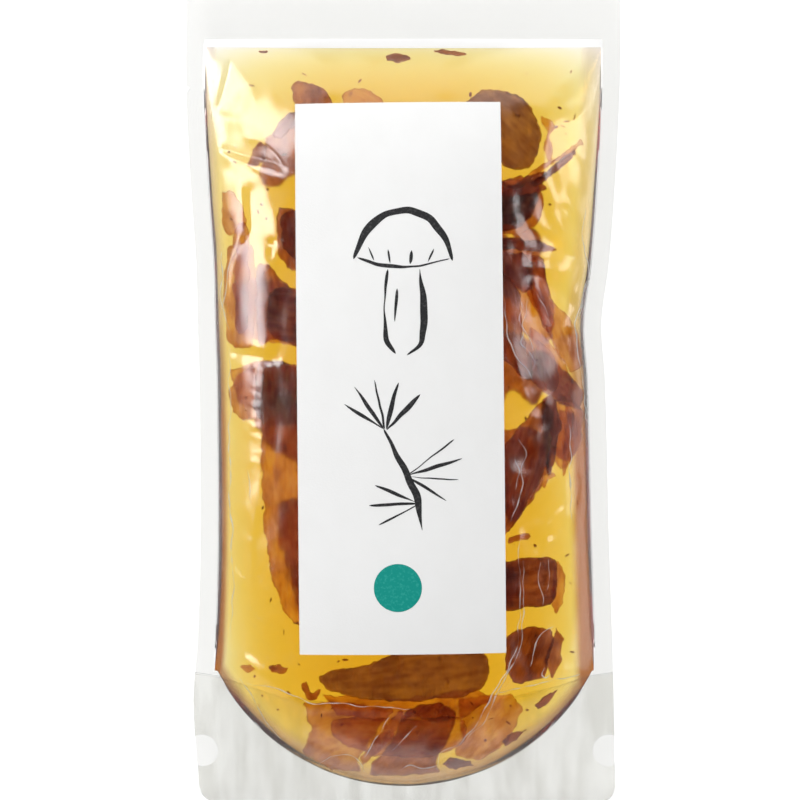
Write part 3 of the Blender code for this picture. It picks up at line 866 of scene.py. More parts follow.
class ShaderBench:
    """Builds one material's node tree."""

    def __init__(self, name: str) -> None:
        """Start a material that holds only a Principled shader and its output."""
        self.material = bpy.data.materials.new(name)
        self.material.use_nodes = True
        self.tree = self.material.node_tree
        self.shader = self.tree.nodes["Principled BSDF"]
        self.output = self.tree.nodes["Material Output"]

    def set(self, **values: object) -> None:
        """Set the shader's own sockets, with spaces in their names written as underscores."""
        for name, value in values.items():
            self.shader.inputs[name.replace("_", " ")].default_value = value

    def add(self, kind: str, **settings: object) -> bpy.types.Node:
        """Add a node of a kind and set its properties.

        Args:
            kind: The node's type.
            settings: Its properties by name.

        Returns:
            The node.
        """
        node = self.tree.nodes.new(kind)
        for name, value in settings.items():
            setattr(node, name, value)
        return node

    def link(self, source: bpy.types.NodeSocket, target: bpy.types.NodeSocket) -> None:
        """Join an output socket to an input socket."""
        self.tree.links.new(source, target)

    def scaled(self, place: bpy.types.NodeSocket, stretch: Triple) -> bpy.types.NodeSocket:
        """Coordinates stretched by a factor along each axis.

        Args:
            place: Socket of the coordinates.
            stretch: Factor along each axis.

        Returns:
            Socket of the stretched coordinates.
        """
        scale = self.add("ShaderNodeMapping")
        scale.inputs["Scale"].default_value = [1.0 / s for s in stretch]
        self.link(place, scale.inputs["Vector"])
        return scale.outputs["Vector"]

    def placed(self, stretch: Triple) -> bpy.types.NodeSocket:
        """Object coordinates in millimetres, stretched by a factor along each axis."""
        place = self.add("ShaderNodeTexCoord").outputs["Object"]
        return self.scaled(place, tuple(MM * s for s in stretch))

    def weighted(self, *parts: tuple[bpy.types.NodeSocket, float]) -> bpy.types.NodeSocket:
        """Add up values, each times its weight.

        Args:
            parts: Socket and weight of each value.

        Returns:
            The sum's socket.
        """
        total = None
        for source, weight in parts:
            node = self.add("ShaderNodeMath", operation="MULTIPLY_ADD")
            self.link(source, node.inputs[0])
            node.inputs[1].default_value = weight
            node.inputs[2].default_value = 0.0
            if total is not None:
                self.link(total, node.inputs[2])
            total = node.outputs[0]
        return total

    def noise(self, place: bpy.types.NodeSocket, scale: float, detail: float = 3.0) -> bpy.types.NodeSocket:
        """A noise of a scale per millimetre at a place.

        Args:
            place: Socket of the coordinates.
            scale: How many lumps there are per millimetre.
            detail: How many finer layers it has.

        Returns:
            The noise's socket.
        """
        node = self.add("ShaderNodeTexNoise")
        node.inputs["Scale"].default_value = scale
        node.inputs["Detail"].default_value = detail
        self.link(place, node.inputs["Vector"])
        return node.outputs["Fac"]

    def ramp(
        self, source: bpy.types.NodeSocket, stops: tuple[tuple[float, Triple], ...]
    ) -> bpy.types.NodeSocket:
        """Turn a value into a colour.

        Args:
            source: The value's socket.
            stops: Place and colour of each stop.

        Returns:
            The colour's socket.
        """
        node = self.add("ShaderNodeValToRGB")
        elements = node.color_ramp.elements
        while len(elements) < len(stops):
            elements.new(0.5)
        for element, (place, colour) in zip(elements, stops):
            element.position = place
            element.color = (*colour, 1.0)
        self.link(source, node.inputs["Fac"])
        return node.outputs["Color"]

    def blend(
        self, share: bpy.types.NodeSocket, first: bpy.types.NodeSocket, second: Triple
    ) -> bpy.types.NodeSocket:
        """Mix a colour socket with a plain colour by a share.

        Args:
            share: Socket of the share.
            first: The colour's socket.
            second: The plain colour.

        Returns:
            The mixture's socket.
        """
        node = self.add("ShaderNodeMix", data_type="RGBA")
        self.link(share, node.inputs["Factor"])
        self.link(first, node.inputs["A"])
        node.inputs["B"].default_value = (*second, 1.0)
        return node.outputs["Result"]

    def bump(self, height: bpy.types.NodeSocket, depth: float) -> None:
        """Raise the shader's surface by a height socket, to a depth in millimetres.

        Args:
            height: The height's socket, from 0 to 1.
            depth: Height of 1 in millimetres.
        """
        node = self.add("ShaderNodeBump")
        node.inputs["Distance"].default_value = depth * MM
        self.link(height, node.inputs["Height"])
        self.link(node.outputs["Normal"], self.shader.inputs["Normal"])


@dataclass(frozen=True)
class FilmFinish:
    """Glossy laminated film."""

    name: str
    tint: Triple
    roughness: float
    ior: float
    clearness: float
    bump_depth: float
    painted_shade_streak: Triple | None = None

    def build(self) -> bpy.types.Material:
        """Make the film's material, with upright streaks of painted grey shade where it has them.

        Returns:
            The material.
        """
        bench = ShaderBench(self.name)
        bench.set(
            Base_Color=(*self.tint, 1.0),
            Roughness=self.roughness,
            IOR=self.ior,
            Transmission_Weight=self.clearness,
        )
        if self.painted_shade_streak:
            # Painted shade: grey upright streaks in the film's colour
            streaks = bench.noise(bench.placed((1.0, 5.0, 1.0)), 0.22, 3.0)
            colour = bench.ramp(streaks, ((0.36, self.painted_shade_streak), (0.62, self.tint)))
            bench.link(colour, bench.shader.inputs["Base Color"])
        place = bench.placed((1.0, 2.5, 1.0))
        bench.bump(bench.noise(place, 0.35, 2.0), self.bump_depth)
        return bench.material


@dataclass(frozen=True)
class BrothFinish:
    """Clear amber liquid, whose colour deepens with its depth."""

    name: str = "amber_broth"
    ior: float = 1.22
    colour: Triple = (0.955, 0.80, 0.02)
    density: float = 200.0
    # Painted shade: the brown laid on the broth's surface along its sides and foot
    edge: Triple = (0.46, 0.18, 0.06)

    def build(self) -> bpy.types.Material:
        """Make the broth's material, with absorption inside it and a painted brown shade along its edges.

        Returns:
            The material.
        """
        bench = ShaderBench(self.name)
        bench.set(Roughness=0.0, IOR=self.ior, Transmission_Weight=1.0)
        # The rim attribute lays the painted brown edge shade into the base colour
        rim = bench.add("ShaderNodeAttribute", attribute_name="rim")
        colour = bench.ramp(rim.outputs["Fac"], ((0.0, (1.0, 1.0, 1.0)), (1.0, self.edge)))
        bench.link(colour, bench.shader.inputs["Base Color"])
        depth = bench.add("ShaderNodeVolumeAbsorption")
        depth.inputs["Color"].default_value = (*self.colour, 1.0)
        depth.inputs["Density"].default_value = self.density
        bench.link(depth.outputs["Volume"], bench.output.inputs["Volume"])
        return bench.material


@dataclass(frozen=True)
class MushroomFinish:
    """Wet, fibrous, partly translucent flesh of a simmered mushroom."""

    name: str
    dark: Triple
    middle: Triple
    light: Triple
    # Painted glow: the orange along the rim, where light from below shines through the thin edges
    rim: Triple
    clearness: float = 0.8
    fibre: float = 0.8

    def build(self) -> bpy.types.Material:
        """Make the flesh's material, with blotches, fibres and a painted orange glow along its rim.

        Returns:
            The material.
        """
        bench = ShaderBench(self.name)
        bench.set(Roughness=0.4, IOR=1.06, Transmission_Weight=self.clearness)
        grain = bench.add("ShaderNodeAttribute", attribute_name="grain").outputs["Vector"]
        fibres = bench.noise(bench.scaled(grain, (1.0, 8.0, 2.0)), self.fibre, 4.0)
        blotches = bench.noise(bench.scaled(grain, (1.0, 1.5, 1.0)), 0.17, 3.0)
        mottle = bench.noise(bench.scaled(grain, (1.0, 2.0, 1.0)), 0.55, 3.0)
        depth = bench.weighted((fibres, 0.28), (blotches, 0.42), (mottle, 0.3))
        colour = bench.ramp(depth, ((0.42, self.dark), (0.5, self.middle), (0.59, self.light)))
        # The rim attribute lays the painted glow of the thin edges into the colour
        rim = bench.add("ShaderNodeAttribute", attribute_name="rim")
        colour = bench.blend(rim.outputs["Fac"], colour, self.rim)
        bench.link(colour, bench.shader.inputs["Base Color"])
        bench.bump(fibres, 0.2)
        return bench.material


@dataclass(frozen=True)
class PaperFinish:
    """White uncoated paper with a faint felt of fibres."""

    name: str = "label_paper"
    white: Triple = (0.93, 0.93, 0.925)
    shade: Triple = (0.915, 0.915, 0.908)

    def build(self) -> bpy.types.Material:
        """Make the paper's material.

        Returns:
            The material.
        """
        bench = ShaderBench(self.name)
        bench.set(Roughness=0.8, Specular_IOR_Level=0.25)
        felt = bench.noise(bench.placed((1.0, 1.0, 1.0)), 2.2, 5.0)
        clouds = bench.noise(bench.placed((1.0, 1.3, 1.0)), 0.12, 2.0)
        colour = bench.ramp(clouds, ((0.3, self.shade), (0.65, self.white)))
        bench.link(colour, bench.shader.inputs["Base Color"])
        bench.bump(felt, 0.05)
        return bench.material


@dataclass(frozen=True)
class InkFinish:
    """Matt ink that covers paper a little unevenly."""

    name: str
    full: Triple
    thin: Triple

    def build(self) -> bpy.types.Material:
        """Make the ink's material.

        Returns:
            The material.
        """
        bench = ShaderBench(self.name)
        bench.set(Roughness=0.65, Specular_IOR_Level=0.3)
        cover = bench.noise(bench.placed((1.0, 1.0, 1.0)), 1.3, 4.0)
        colour = bench.ramp(cover, ((0.3, self.thin), (0.5, self.full)))
        bench.link(colour, bench.shader.inputs["Base Color"])
        bench.bump(cover, 0.03)
        return bench.material


@dataclass(frozen=True)
class FloorFinish:
    """White table that glows a little, as one lit from below does."""

    name: str = "white_table"
    colour: float = 0.2
    glow: float = 1.0

    def build(self) -> bpy.types.Material:
        """Make the table's material.

        Returns:
            The material.
        """
        bench = ShaderBench(self.name)
        bench.set(
            Base_Color=(self.colour, self.colour, self.colour, 1.0),
            Roughness=0.9,
            Emission_Color=(1.0, 1.0, 0.995, 1.0),
            Emission_Strength=self.glow,
        )
        bench.material.cycles.emission_sampling = "NONE"
        return bench.material


CLEAR_FILM = FilmFinish("clear_film", (1.0, 1.0, 1.0), 0.17, 1.46, 1.0, 0.012)
SEALED_FILM = FilmFinish("sealed_film", (0.935, 0.935, 0.927), 0.16, 1.26, 0.98, 0.05)
# The gusset's grey upright streaks are painted shade of the skirt's wrinkles
GUSSET_FILM = FilmFinish("gusset_film", (1.0, 1.0, 0.99), 0.12, 1.16, 0.99, 0.06, (0.925, 0.923, 0.905))
# Milky white of the folds: painted highlight along the creases
FOLD_HIGHLIGHT_FILM = FilmFinish("fold_highlight_film", (1.0, 0.99, 0.97), 0.3, 1.46, 0.72, 0.01)

BLACK_INK = InkFinish("black_ink", (0.018, 0.018, 0.02), (0.06, 0.058, 0.06))
TEAL_INK = InkFinish("teal_ink", (0.0, 0.30, 0.25), (0.02, 0.37, 0.31))

# Dark, middle and light brown of each tone, then the orange of its rim, a painted glow of light shining
# through the thin edges
FLESH = {
    Tone.DEEP: MushroomFinish(
        "flesh_deep", (0.20, 0.045, 0.012), (0.36, 0.10, 0.03), (0.55, 0.19, 0.05), (0.42, 0.13, 0.03)
    ),
    Tone.RUSSET: MushroomFinish(
        "flesh_russet", (0.32, 0.09, 0.03), (0.52, 0.19, 0.06), (0.74, 0.35, 0.10), (0.58, 0.24, 0.05), 0.85
    ),
    Tone.AMBER: MushroomFinish(
        "flesh_amber", (0.54, 0.22, 0.05), (0.76, 0.40, 0.10), (0.92, 0.60, 0.20), (0.68, 0.33, 0.07), 0.92
    ),
    Tone.MAUVE: MushroomFinish(
        "flesh_mauve", (0.26, 0.10, 0.07), (0.42, 0.20, 0.12), (0.60, 0.33, 0.17), (0.56, 0.26, 0.06)
    ),
}


@dataclass
class Films:
    """Front film, back film and the folded gusset between them."""

    form: PouchForm
    creasing: Creasing
    seal_columns: int = 6
    head_rows: int = 12
    foot_rows: int = 34
    front_net: tuple[int, int] = (215, 128)
    back_net: tuple[int, int] = (150, 84)

    def layout(self, rows: int, columns: int) -> tuple[np.ndarray, np.ndarray]:
        """Lay out a film's lattice, with its chamber divided into rows and columns.

        Args:
            rows: How many rows the chamber has.
            columns: How many columns it has.

        Returns:
            Places of all the rows, and places of all the columns.
        """
        seal = np.linspace(-2.0, -1.0, self.seal_columns + 1)[:-1]
        s = np.concatenate((seal, chamber_columns(columns), -seal[::-1]))
        head = np.linspace(-1.0, 0.0, self.head_rows + 1)[:-1]
        foot = np.linspace(1.0, 2.0, self.foot_rows + 1)[1:]
        t = np.concatenate((head, np.linspace(0.0, 1.0, rows + 1), foot))
        return t, s

    def build_film(
        self, node: str, front: bool, net: tuple[int, int], finishes: list[bpy.types.Material]
    ) -> bpy.types.Object:
        """Build one film as a closed shell.

        Args:
            node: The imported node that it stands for.
            front: Whether it is the front film.
            net: How many rows and columns the chamber is divided into.
            finishes: The materials of the chamber and of the seals.

        Returns:
            The film's piece.
        """
        t, s = self.layout(*net)
        x, y = self.form.lattice(t, s)
        if front:
            inner = grid_points(x, y, self.form.front_inner(x, y) + self.creasing.front(x, y))
            outer = inner + grid_normals(inner) * self.form.film
            mesh = shell_mesh(node + "_skin", outer, inner)
        else:
            inner = grid_points(x, y, self.form.back_inner(x, y) + self.creasing.back(x, y))
            outer = inner - grid_normals(inner) * self.form.film
            mesh = shell_mesh(node + "_skin", inner, outer)
        shade_smooth(mesh, 60.0)
        for finish in finishes:
            mesh.materials.append(finish)
        centre_t = (t[:-1] + t[1:]) / 2.0
        centre_s = (s[:-1] + s[1:]) / 2.0
        open_rows = (centre_t > 0.0) & (centre_t < 1.0)
        open_columns = np.abs(centre_s) < 1.0
        region = np.where(np.outer(open_rows, open_columns), Region.CLEAR.value, Region.SEALED.value)
        flat = region.ravel()
        rim = np.full(len(mesh.polygons) - 2 * len(flat), Region.SEALED.value)
        mesh.polygons.foreach_set("material_index", np.concatenate((flat, flat, rim)))
        return add_piece(mesh, "clear_film", node)

    def build_gusset(self, node: bpy.types.Object) -> bpy.types.Object:
        """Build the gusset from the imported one, with its loose triangles joined.

        Args:
            node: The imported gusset.

        Returns:
            Its piece.
        """
        mesh = welded(node, "bottom_gusset_skin")
        shade_smooth(mesh, 40.0)
        mesh.materials.append(GUSSET_FILM.build())
        return add_piece(mesh, "clear_film", node.name)

    def build(self, nodes: dict[str, bpy.types.Object]) -> None:
        """Build the three pieces of film.

        Args:
            nodes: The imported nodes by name.
        """
        finishes = [CLEAR_FILM.build(), SEALED_FILM.build()]
        self.build_film("front_film", True, self.front_net, finishes)
        self.build_film("back_film", False, self.back_net, finishes)
        self.build_gusset(nodes["bottom_gusset"])


# Lines of the thin raised folds of the front film, as picked in the photograph, in pixels
FOLD_LINES = (
    ((519, 540), (520, 600), (518, 640), (514, 657), (502, 677), (489, 702), (477, 725), (459, 745),
        (441, 754), (437, 772)),
    ((524, 560), (523, 610), (522, 645), (506, 678), (494, 702), (482, 724), (466, 742)),
    ((541, 562), (539, 584), (544, 600), (541, 612)),
    ((548, 560), (551, 575), (547, 590)),
    ((519, 296), (523, 306), (518, 319), (525, 331), (520, 343), (530, 353), (538, 363), (530, 372)),
    ((525, 298), (528, 312), (522, 326), (529, 340), (535, 352), (531, 360)),
    ((504, 299), (507, 326), (512, 350), (524, 366), (533, 381)),
    ((532, 288), (541, 300), (549, 316)),
    ((518, 438), (526, 452), (521, 466), (525, 482), (517, 500), (510, 522)),
    ((514, 456), (520, 474), (516, 490)),
    ((555, 628), (541, 632), (535, 650), (531, 668)),
    ((545, 668), (540, 675), (546, 682), (552, 676)),
    ((245, 684), (278, 690), (306, 702), (358, 705), (410, 707)),
    ((582, 677), (560, 681), (530, 686), (495, 694)),
    ((238, 680), (252, 700), (262, 722), (280, 744)),
    ((318, 768), (330, 758), (345, 756), (360, 763), (363, 776)),
    ((400, 773), (412, 768), (424, 772), (437, 766)),
    ((390, 716), (376, 738), (364, 760)),
    ((418, 726), (405, 738), (392, 752)),
    ((587, 205), (583, 238), (592, 267), (584, 298), (576, 322), (578, 345), (585, 380), (588, 420)),
    ((594, 272), (586, 292), (579, 318)),
    ((229, 345), (229, 400), (228, 480), (231, 560), (232, 604), (229, 640)),
    ((222, 250), (219, 280), (221, 305), (227, 330)),
    ((238, 244), (229, 262), (224, 290), (220, 308)),
    ((247, 470), (251, 490), (249, 505)),
    ((568, 420), (573, 450), (570, 480), (573, 520)),
)


@dataclass
class Folds:
    """Thin folds that stand up from the front film where it crumples, in a milky white that paints the bright
    highlight along each crease.
    """

    creasing: Creasing
    step: float = 0.5
    width: float = 0.34
    height: float = 0.13
    sink: float = 0.12
    waver: float = 0.35

    def fold(self, line: Line, seed: int) -> bpy.types.Mesh:
        """Build one fold as a closed sliver that tapers to both ends.

        Args:
            line: Corners of its line, in millimetres.
            seed: Seed of its unevenness.

        Returns:
            Its mesh.
        """
        x, y, size = brush(line, self.width, self.step, self.waver, seed)
        crown = np.array((0.0, 0.7, 1.0, 0.7, 0.0)) * self.height
        film = self.creasing.outer(x, y)
        return shell_mesh("fold", grid_points(x, y, film + crown * size), grid_points(x, y, film - self.sink))

    def build(self) -> bpy.types.Object:
        """Build every fold as one piece.

        Returns:
            The piece.
        """
        made = joined("film_folds", [self.fold(on_film(line), seed) for seed, line in enumerate(FOLD_LINES)])
        made.materials.append(FOLD_HIGHLIGHT_FILM.build())
        return add_piece(made, "clear_film")


@dataclass
class Broth:
    """The liquid between the films."""

    form: PouchForm
    creasing: Creasing
    clearance: float = 0.12
    inset: float = 0.006
    headspace: float = 2.2
    meniscus: float = 1.3
    columns: int = 128
    rows: int = 214
    meniscus_rows: int = 6
    foot: float = 0.9985
    # Where the painted brown edge shade lies: across the left side, the right side and the foot, its fade
    # along Y, and its share at the head and the foot
    left_shade_span: tuple[float, float] = (0.93, 0.965)
    right_shade_span: tuple[float, float] = (0.875, 0.93)
    foot_shade_span: tuple[float, float] = (0.958, 0.988)
    shade_fade: tuple[float, float] = (-40.0, 15.0)
    head_shade_share: float = 0.25
    foot_shade_share: float = 0.8

    def rim(self, t: np.ndarray, s: np.ndarray, y: np.ndarray) -> np.ndarray:
        """Find how much painted brown shade the broth's surface gets along its sides and foot, more towards
        the bottom.

        Args:
            t: Places of the lattice's rows.
            s: Places of its columns.
            y: Y of each of its points.

        Returns:
            A share from 0 to 1 for each point.
        """
        sides = np.where(s < 0.0, smooth_step(-s, *self.left_shade_span), smooth_step(s, *self.right_shade_span))
        lower = self.head_shade_share + (1.0 - self.head_shade_share) * smooth_step(-y, *self.shade_fade)
        foot = self.foot_shade_share * smooth_step(t, *self.foot_shade_span)
        return np.maximum(sides[None, :] * lower, foot[:, None])

    def build(self) -> bpy.types.Object:
        """Build the broth as one closed shell.

        Returns:
            Its piece.
        """
        s = chamber_columns(self.columns) * (1.0 - self.inset)
        start = self.headspace / (self.form.chamber_top - self.form.arc_start)
        turns = np.linspace(0.0, math.pi / 2.0, self.meniscus_rows + 1)[:-1]
        near = start * (1.0 - np.cos(turns)) * 0.6
        t = np.concatenate((start + near, np.linspace(start * 1.6, self.foot, self.rows + 1)))
        x, y = self.form.lattice(t, s)
        upper = self.form.front_inner(x, y) + self.creasing.front(x, y) - self.clearance
        lower = self.form.back_inner(x, y) + self.creasing.back(x, y) + self.clearance
        top_line = y[0].max()
        depth = np.clip((top_line + 0.02 - y) / self.meniscus, 0.0, 1.0)
        round_off = np.sqrt(1.0 - (1.0 - depth) ** 2)
        middle, half = (upper + lower) / 2.0, (upper - lower) / 2.0 * round_off
        mesh = shell_mesh("broth_liquid", grid_points(x, y, middle + half), grid_points(x, y, middle - half))
        # Painted brown shade along the broth's sides and foot
        painted_shade = self.rim(t, s, y).ravel()
        mark_rim(mesh, np.concatenate((painted_shade, painted_shade)))
        shade_smooth(mesh, 60.0)
        mesh.materials.append(BrothFinish().build())
        return add_piece(mesh, "amber_broth", "broth")


SLICE_TONES = {
    "cap_piece_top_left": Tone.RUSSET,
    "cap_piece_top": Tone.AMBER,
    "cap_slice_round": Tone.MAUVE,
    "cap_slice_under_round": Tone.DEEP,
    "strip_upper_right": Tone.DEEP,
    "strip_across_right": Tone.DEEP,
    "strip_right": Tone.AMBER,
    "stem_slice_upper_right": Tone.RUSSET,
    "strip_middle_right": Tone.AMBER,
    "cap_slice_right": Tone.RUSSET,
    "sliver_right_edge": Tone.AMBER,
    "block_slice_right": Tone.DEEP,
    "block_slice_foot_right": Tone.DEEP,
    "cap_slice_foot": Tone.MAUVE,
    "stem_slice_foot": Tone.AMBER,
    "cap_piece_left": Tone.DEEP,
    "cap_slice_left": Tone.RUSSET,
    "stem_slice_long": Tone.AMBER,
    "strip_left_edge": Tone.AMBER,
}


@dataclass(frozen=True)
class Shred:
    """A piece of flesh of its own outline, at a depth under the front film."""

    name: str
    tone: Tone
    depth: float
    thickness: float
    outline: Line


# Pieces of flesh that are too small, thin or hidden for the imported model: name, tone, depth and
# thickness in millimetres, and the outline as picked in the photograph, in pixels
SHREDS = (
    Shred("shred_left", Tone.RUSSET, 1.0, 1.2, ((247, 165), (250, 152), (260, 140), (268, 146),
        (265, 156.8), (257, 166))),
    Shred("shred_upper_left", Tone.RUSSET, 1.0, 1.3, ((272, 134), (277, 121), (289, 110), (302, 110),
        (302, 122), (290, 128), (281, 138))),
    Shred("shred_ring_side", Tone.AMBER, 1.0, 0.7, ((540, 113), (552, 118), (556, 126), (550, 134),
        (553, 160), (548, 162), (545, 148), (547, 130), (541, 122))),
    Shred("shred_twig", Tone.AMBER, 0.9, 1.0, ((500, 181), (520, 179), (537, 166), (560, 154), (583, 136),
        (584, 142), (566, 157), (545, 168), (522, 187), (504, 189))),
    Shred("shred_under_round", Tone.DEEP, 1.2, 2.2, ((500, 181), (514, 184), (528, 176), (546, 171),
        (540, 181), (547, 187), (537, 193), (533, 214), (520, 226), (500, 233))),
    Shred("shred_right_1", Tone.RUSSET, 2.6, 1.8, ((500, 250), (522, 252), (531, 262), (533, 287),
        (524, 293), (511, 282), (500, 276))),
    Shred("shred_right_2", Tone.AMBER, 3.0, 1.6, ((519, 252), (545, 257), (548, 300), (554, 321),
        (550, 331), (543, 327), (526, 290))),
    Shred("shred_right_3", Tone.AMBER, 3.4, 1.6, ((529, 324), (545, 337), (558, 350), (569, 371),
        (577, 404), (562, 400), (548, 394), (537, 372))),
    Shred("shred_right_4", Tone.AMBER, 3.6, 1.5, ((558, 408), (570, 411), (579, 421), (577, 444),
        (571, 464), (560, 471), (552, 458), (557, 430))),
    Shred("shred_right_5", Tone.DEEP, 1.2, 1.5, ((543, 399), (550, 394), (557, 402), (561, 426),
        (556, 457), (549, 478), (545, 464), (541, 415))),
    Shred("shred_right_6", Tone.RUSSET, 1.6, 1.0, ((508, 537), (528, 532), (531, 538), (508, 544))),
    Shred("shred_right_7", Tone.AMBER, 0.8, 0.7, ((541, 487), (544, 475), (553, 471), (558, 477),
        (548, 480), (546, 489))),
    Shred("shred_right_8", Tone.RUSSET, 2.2, 1.6, ((556, 628), (564, 640), (561, 662), (552, 682),
        (546, 664), (552, 642))),
    Shred("shred_left_1", Tone.AMBER, 3.2, 1.8, ((221, 189), (232, 190), (243, 203), (246, 219),
        (240, 232), (229, 236), (220, 220))),
    Shred("shred_left_2", Tone.AMBER, 2.6, 1.8, ((227, 246), (239, 240), (252, 245), (258, 290),
        (252, 346), (236, 348), (226, 339), (223, 300))),
    Shred("shred_left_3", Tone.RUSSET, 2.0, 2.0, ((258, 262), (270, 263), (279, 278), (300, 296),
        (300, 346), (270, 338), (261, 346), (255, 318))),
    Shred("shred_left_4", Tone.AMBER, 2.6, 1.8, ((228, 390), (238, 374), (254, 366), (259, 392),
        (256, 418), (244, 421), (232, 412))),
    Shred("shred_left_5", Tone.RUSSET, 2.4, 2.0, ((257, 363), (276, 360), (300, 369), (300, 424),
        (268, 428), (255, 412))),
    Shred("shred_foot_fold", Tone.AMBER, 3.4, 1.6, ((322, 694), (380, 700), (440, 694), (476, 688),
        (490, 700), (470, 716), (430, 724), (412, 714), (380, 722), (340, 714))),
    Shred("shred_right_9", Tone.AMBER, 4.0, 1.5, ((557, 560), (566, 575), (564, 604), (556, 616),
        (550, 600), (552, 575))),
    Shred("shred_right_10", Tone.RUSSET, 3.0, 1.8, ((503, 180), (520, 174), (538, 184), (546, 203),
        (536, 224), (516, 236), (500, 230))),
    Shred("shred_right_11", Tone.AMBER, 4.4, 1.6, ((500, 262), (520, 264), (538, 282), (549, 312),
        (553, 338), (541, 346), (522, 332), (503, 318))),
    Shred("shred_right_12", Tone.AMBER, 2.8, 1.6, ((549, 300), (567, 312), (580, 335), (585, 364),
        (573, 373), (556, 352), (546, 325))),
    Shred("shred_right_13", Tone.RUSSET, 3.8, 1.6, ((526, 350), (546, 352), (567, 372), (585, 392),
        (581, 411), (560, 404), (541, 390), (528, 378))),
    Shred("shred_right_14", Tone.AMBER, 4.4, 1.6, ((543, 400), (566, 396), (584, 410), (583, 440),
        (568, 464), (548, 452), (539, 425))),
    Shred("shred_right_15", Tone.RUSSET, 4.8, 1.6, ((500, 430), (530, 427), (553, 440), (549, 470),
        (531, 502), (510, 524), (500, 500))),
    Shred("shred_left_6", Tone.RUSSET, 2.4, 1.8, ((278, 205), (292, 208), (302, 225), (302, 272),
        (288, 268), (278, 252))),
    Shred("shred_left_7", Tone.AMBER, 4.6, 1.6, ((233, 283), (262, 277), (298, 288), (300, 346),
        (264, 341), (238, 334))),
    Shred("shred_left_8", Tone.AMBER, 4.6, 1.6, ((230, 370), (262, 361), (300, 365), (300, 402),
        (264, 412), (240, 404))),
    Shred("shred_foot_left", Tone.AMBER, 3.4, 2.0, ((304, 704), (350, 703), (394, 709), (376, 731),
        (358, 764), (362, 776), (328, 773), (303, 756), (312, 730))),
    Shred("shred_foot_middle", Tone.RUSSET, 3.0, 1.8, ((406, 708), (440, 701), (457, 712), (449, 740),
        (436, 763), (441, 774), (402, 779), (369, 777), (372, 764), (392, 744))),
    Shred("shred_foot_right", Tone.AMBER, 4.5, 1.5, ((458, 699), (512, 695), (523, 712), (506, 746),
        (481, 763), (453, 757), (462, 734))),
    Shred("shred_foot_slit", Tone.AMBER, 0.6, 0.7, ((401, 709), (405, 716), (392, 739), (376, 757),
        (362, 766), (361, 757), (374, 740), (390, 720))),
    Shred("shred_foot_arm", Tone.RUSSET, 1.0, 1.0, ((301, 684), (307, 682), (311, 693), (322, 688),
        (318, 699), (307, 703))),
    Shred("shred_foot_edge", Tone.DEEP, 0.9, 0.9, ((441, 766), (451, 758), (472, 763), (474, 769),
        (455, 773))),
    Shred("shred_foot_corner", Tone.DEEP, 0.9, 0.9, ((502, 743), (514, 734), (527, 732), (518, 743),
        (505, 750))),
    Shred("shred_foot_side", Tone.DEEP, 0.9, 0.9, ((535, 706), (551, 695), (562, 689), (549, 706),
        (538, 712))),
    Shred("fleck_top_1", Tone.DEEP, 0.6, 0.7, ((384, 52), (395, 49), (408, 51), (411, 56), (398, 60),
        (387, 58))),
    Shred("fleck_top_2", Tone.DEEP, 0.6, 0.6, ((430, 47), (450, 45), (470, 49), (467, 53), (445, 52))),
    Shred("fleck_top_3", Tone.DEEP, 0.6, 0.6, ((256, 45), (268, 46), (266, 50), (257, 50))),
    Shred("fleck_foot_1", Tone.RUSSET, 0.8, 0.8, ((268, 668), (278, 665), (290, 668), (284, 676),
        (272, 674))),
    Shred("fleck_foot_2", Tone.AMBER, 0.8, 0.8, ((237, 668), (250, 666), (257, 671), (246, 677))),
)


